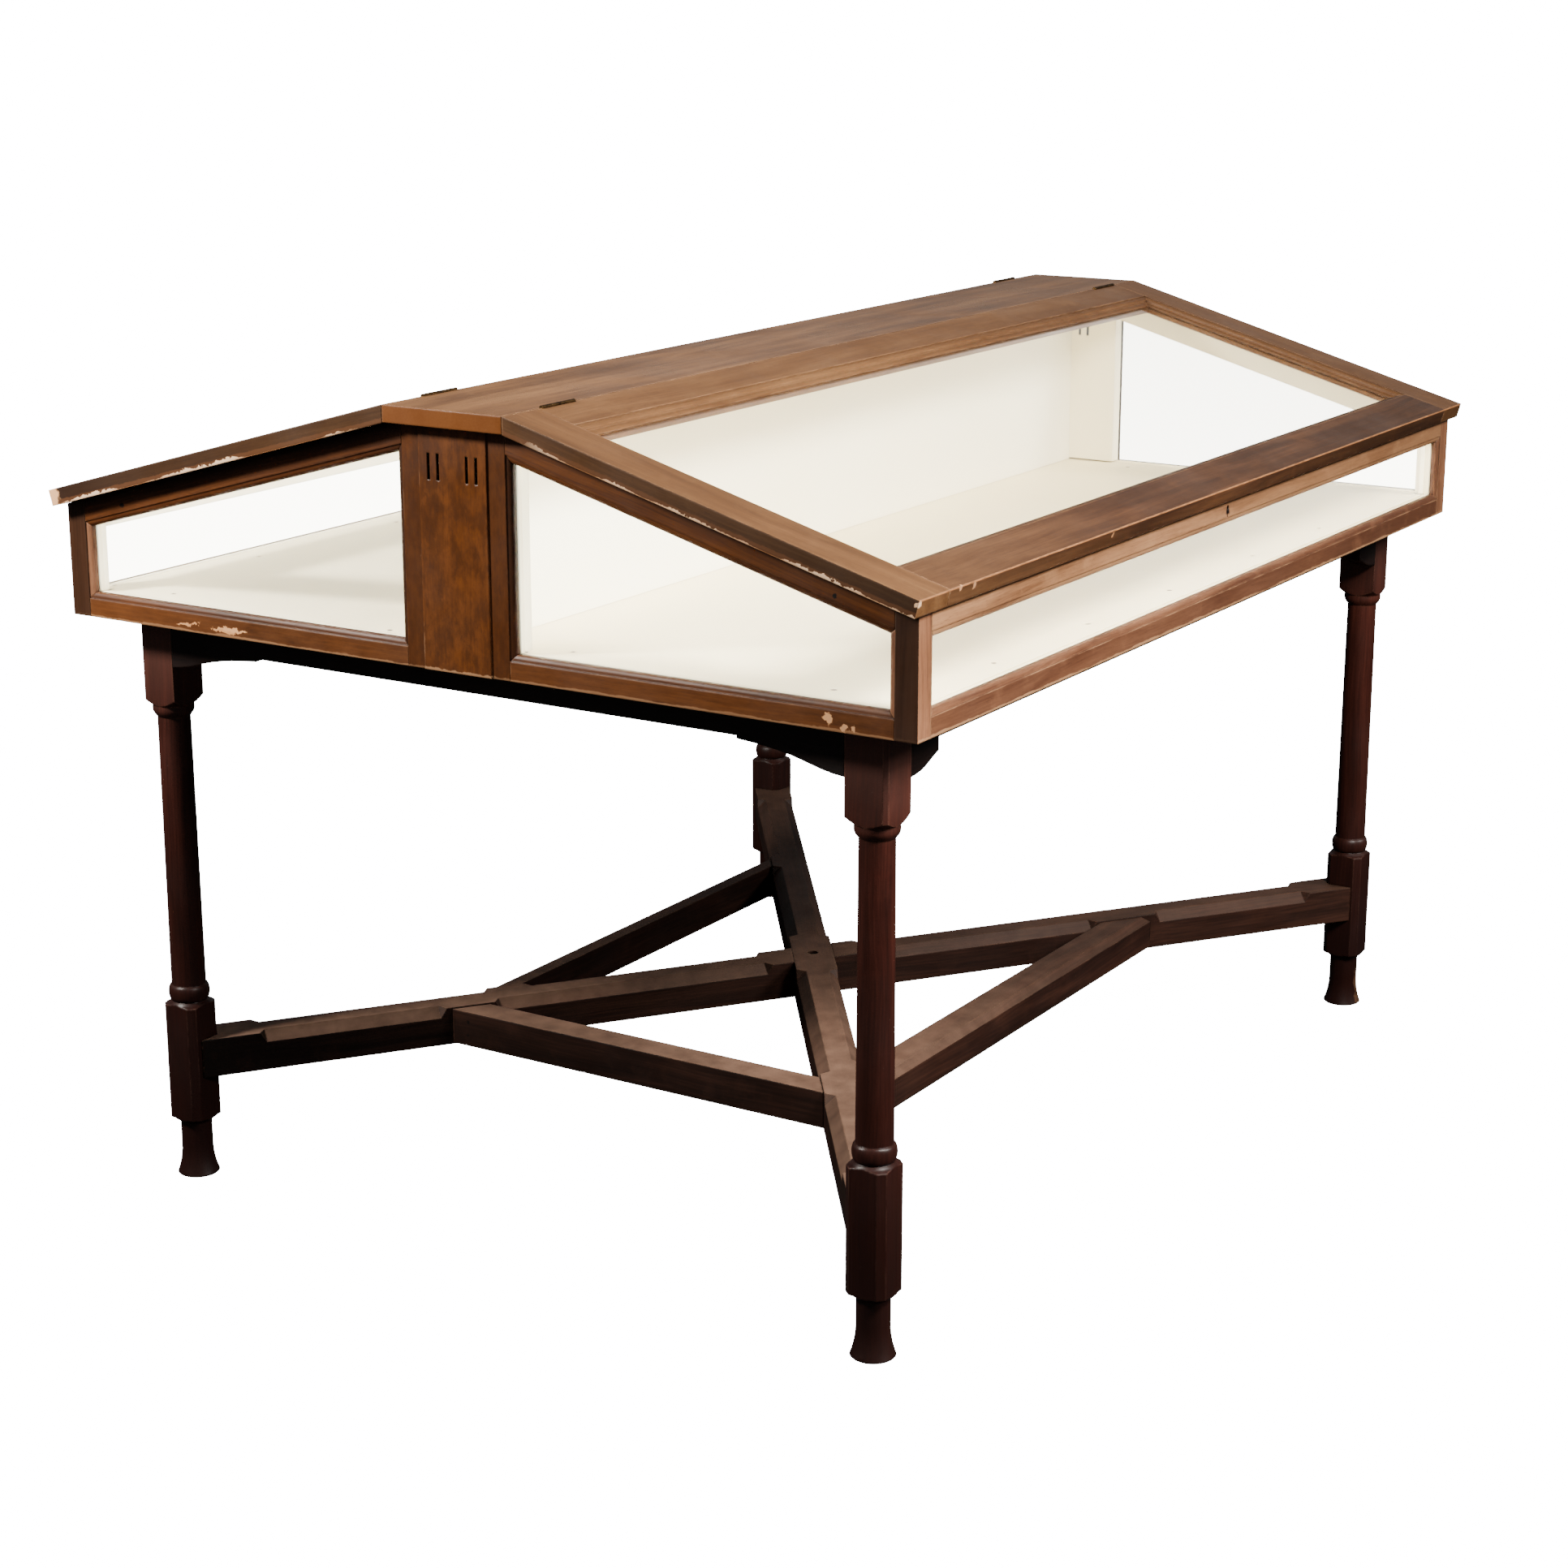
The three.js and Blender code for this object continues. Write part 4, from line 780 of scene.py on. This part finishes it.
def leg_square(angle, chamfers):
    """Distance to the square's sides at an angle, with chamfered arrises."""
    reach = LEG_HALF * 1000 / max(abs(math.cos(angle)), abs(math.sin(angle)))
    for corner, size in chamfers:
        offset = abs((angle - corner + math.pi) % (2 * math.pi) - math.pi)
        if offset < math.pi / 4:
            flat = LEG_HALF * 1000 * math.sqrt(2) - size / math.sqrt(2)
            reach = min(reach, flat / math.cos(offset))
    return reach


def leg_levels():
    """Heights of the mesh's rings, closer where the turning curves."""
    levels = {0, 0.6, SOLE_TOP, 3, 50, 58, 66, 73.9, 96, 120, 160, 200, 225, 230}
    levels.update(range(6, 46, 4))
    levels.update(74.1 + 1.5 * k for k in range(13))
    levels.update(231 + k for k in range(13))
    bead = BEAD_TOP - BEAD_BOTTOM
    levels.update(BEAD_BOTTOM + bead * (1 - math.cos(math.pi * k / 14)) / 2 for k in range(15))
    levels.update((268, 300, 380, 460, 540, 600, 622, 626.9))
    levels.update(COLUMN_TOP + k for k in range(40))
    levels.update((670, 700, 730, round(LEG_HEIGHT * 1000)))
    return sorted(levels)


def leg_angles():
    """Angles of the mesh's sides: even steps, and the edges of the chamfers."""
    quarters = [math.pi / 4 + k * math.pi / 2 for k in range(4)]
    angles = {round(2 * math.pi * k / TURNING_SIDES, 6) for k in range(TURNING_SIDES)}
    for size in (LOWER_CHAMFER, UPPER_CHAMFER):
        half = math.atan2(LEG_HALF * 1000, LEG_HALF * 1000 - size) - math.pi / 4
        for quarter in quarters:
            for sign in (-1, 1):
                angles.add(round((quarter + sign * half) % (2 * math.pi), 6))
    return quarters, sorted(angles)


def leg_mesh(outer):
    """One leg about its own axis: the lower of the turned and the squared form everywhere."""
    quarters, angles = leg_angles()
    lower = [(quarter, LOWER_CHAMFER) for quarter in quarters]
    upper = [(outer, UPPER_CHAMFER)]
    mesh = bmesh.new()
    rings = []
    for z in leg_levels():
        chamfers = lower if z < MIDDLE else upper
        ring = []
        for angle in angles:
            r = min(leg_radius(z), leg_square(angle, chamfers)) / 1000
            ring.append(mesh.verts.new((r * math.cos(angle), r * math.sin(angle), z / 1000)))
        rings.append(ring)
    count = len(angles)
    for low, high in zip(rings, rings[1:]):
        for i in range(count):
            j = (i + 1) % count
            mesh.faces.new((low[i], low[j], high[j], high[i]))
    mesh.faces.new(list(reversed(rings[0])))
    mesh.faces.new(rings[-1])
    data = bpy.data.meshes.new("leg")
    mesh.to_mesh(data)
    mesh.free()
    data.shade_smooth()
    data.set_sharp_from_angle(angle=SHARP_ANGLE)
    return data


def make_legs(sound, eaten):
    """Four turned legs; the front right one has the worm-eaten foot."""
    for row, y in (("front", -1), ("rear", 1)):
        for end, x in (("left", -1), ("right", 1)):
            data = leg_mesh(math.atan2(y, x))
            data.materials.append(eaten if (x, y) == (1, -1) else sound)
            leg = link(bpy.data.objects.new(f"turned_leg_{row}_{end}", data))
            leg.location = (x * LEG_X, y * LEG_Y, 0)
            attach(leg, "base")
            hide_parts(f"leg_{row}_{end}")


# Floor and lights
SEEN_BRIGHT = 16.0
SURROUND_LIGHT = 0.38
SURROUND_SHINE = 0.4
FLOOR_RADIUS = 200


def make_stage():
    """A wide pale floor that looks bright and throws little light back."""
    s = Shader("studio_floor")
    drift = s.noise(s.add("TexCoord").outputs["Object"], scale=0.4)
    pale = s.mix(s.span(drift, 0.3, 0.7), srgb(250, 250, 249), srgb(246, 246, 245))
    path = s.add("LightPath")
    seen = s.math("MAXIMUM", path.outputs["Is Camera Ray"], path.outputs["Is Transmission Ray"])
    dim = s.mix(path.outputs["Is Glossy Ray"], srgb(66, 66, 66), srgb(30, 30, 30))
    material = s.finish(Base_Color=s.mix(seen, dim, pale), Roughness=0.8, Specular_IOR_Level=0.0,
                        Emission_Color=(1, 1, 1, 1), Emission_Strength=s.times(seen, SEEN_BRIGHT))
    mesh = bmesh.new()
    bmesh.ops.create_circle(mesh, cap_ends=True, segments=64, radius=FLOOR_RADIUS)
    data = bpy.data.meshes.new("studio_floor")
    mesh.to_mesh(data)
    mesh.free()
    data.materials.append(material)
    link(bpy.data.objects.new("studio_floor", data))


def lamp(name, place, target, size, power, color=(1, 1, 1)):
    """A rectangular lamp that faces a target."""
    data = bpy.data.lights.new(name, "AREA")
    data.shape = "RECTANGLE"
    data.size, data.size_y = size
    data.energy = power
    data.color = color
    obj = link(bpy.data.objects.new(name, data))
    obj.location = place
    obj.rotation_euler = (Vector(target) - Vector(place)).to_track_quat("-Z", "Y").to_euler()


def sun(name, travel, strength, angle, color):
    """Far, soft light that travels along a direction."""
    data = bpy.data.lights.new(name, "SUN")
    data.energy = strength
    data.angle = math.radians(angle)
    data.color = color
    obj = link(bpy.data.objects.new(name, data))
    obj.rotation_euler = Vector(travel).to_track_quat("-Z", "Y").to_euler()


def make_world():
    """An even white surround, bright where it is seen and weak as a light."""
    world = bpy.data.worlds.new("studio")
    world.use_nodes = True
    nodes, links = world.node_tree.nodes, world.node_tree.links
    background = nodes["Background"]
    background.inputs["Color"].default_value = (0.97, 0.985, 1.0, 1)
    path = nodes.new("ShaderNodeLightPath")
    strength = nodes.new("ShaderNodeMath")
    strength.operation = "MULTIPLY"
    shares = (("Is Camera Ray", SURROUND_LIGHT, SEEN_BRIGHT),
              ("Is Glossy Ray", 1.0, SURROUND_SHINE))
    for socket, (ray, otherwise, where) in zip(strength.inputs, shares):
        choice = nodes.new("ShaderNodeMapRange")
        links.new(path.outputs[ray], choice.inputs[0])
        choice.inputs["To Min"].default_value = otherwise
        choice.inputs["To Max"].default_value = where
        links.new(choice.outputs[0], socket)
    links.new(strength.outputs[0], background.inputs["Strength"])
    bpy.context.scene.world = world


def make_lights():
    sun("sky", (-0.2, 0.8, -0.56), 3.65, 14, (1.0, 0.975, 0.93))
    lamp("key", (-0.85, -2.0, 2.25), (-0.6, -0.4, 0.85), (0.6, 0.6), 175, (1.0, 0.965, 0.92))
    lamp("top", (-0.3, 0.3, 5.2), (0, 0, 0.9), (4.0, 3.0), 62, (1.0, 0.99, 0.97))
    lamp("left", (-1.85, 1.15, 1.93), (-0.7, 0.4, 0.85), (0.26, 0.26), 118, (1.0, 0.96, 0.9))
    lamp("sheen", (4.0, 1.4, 2.7), (0.3, -0.1, 1.0), (3.2, 1.5), 6)


make_camera()
woods = dress_nodes()
make_legs(woods["stand_wood_upright"], woods["stand_wood_eaten"])
make_stage()
make_world()
make_lights()
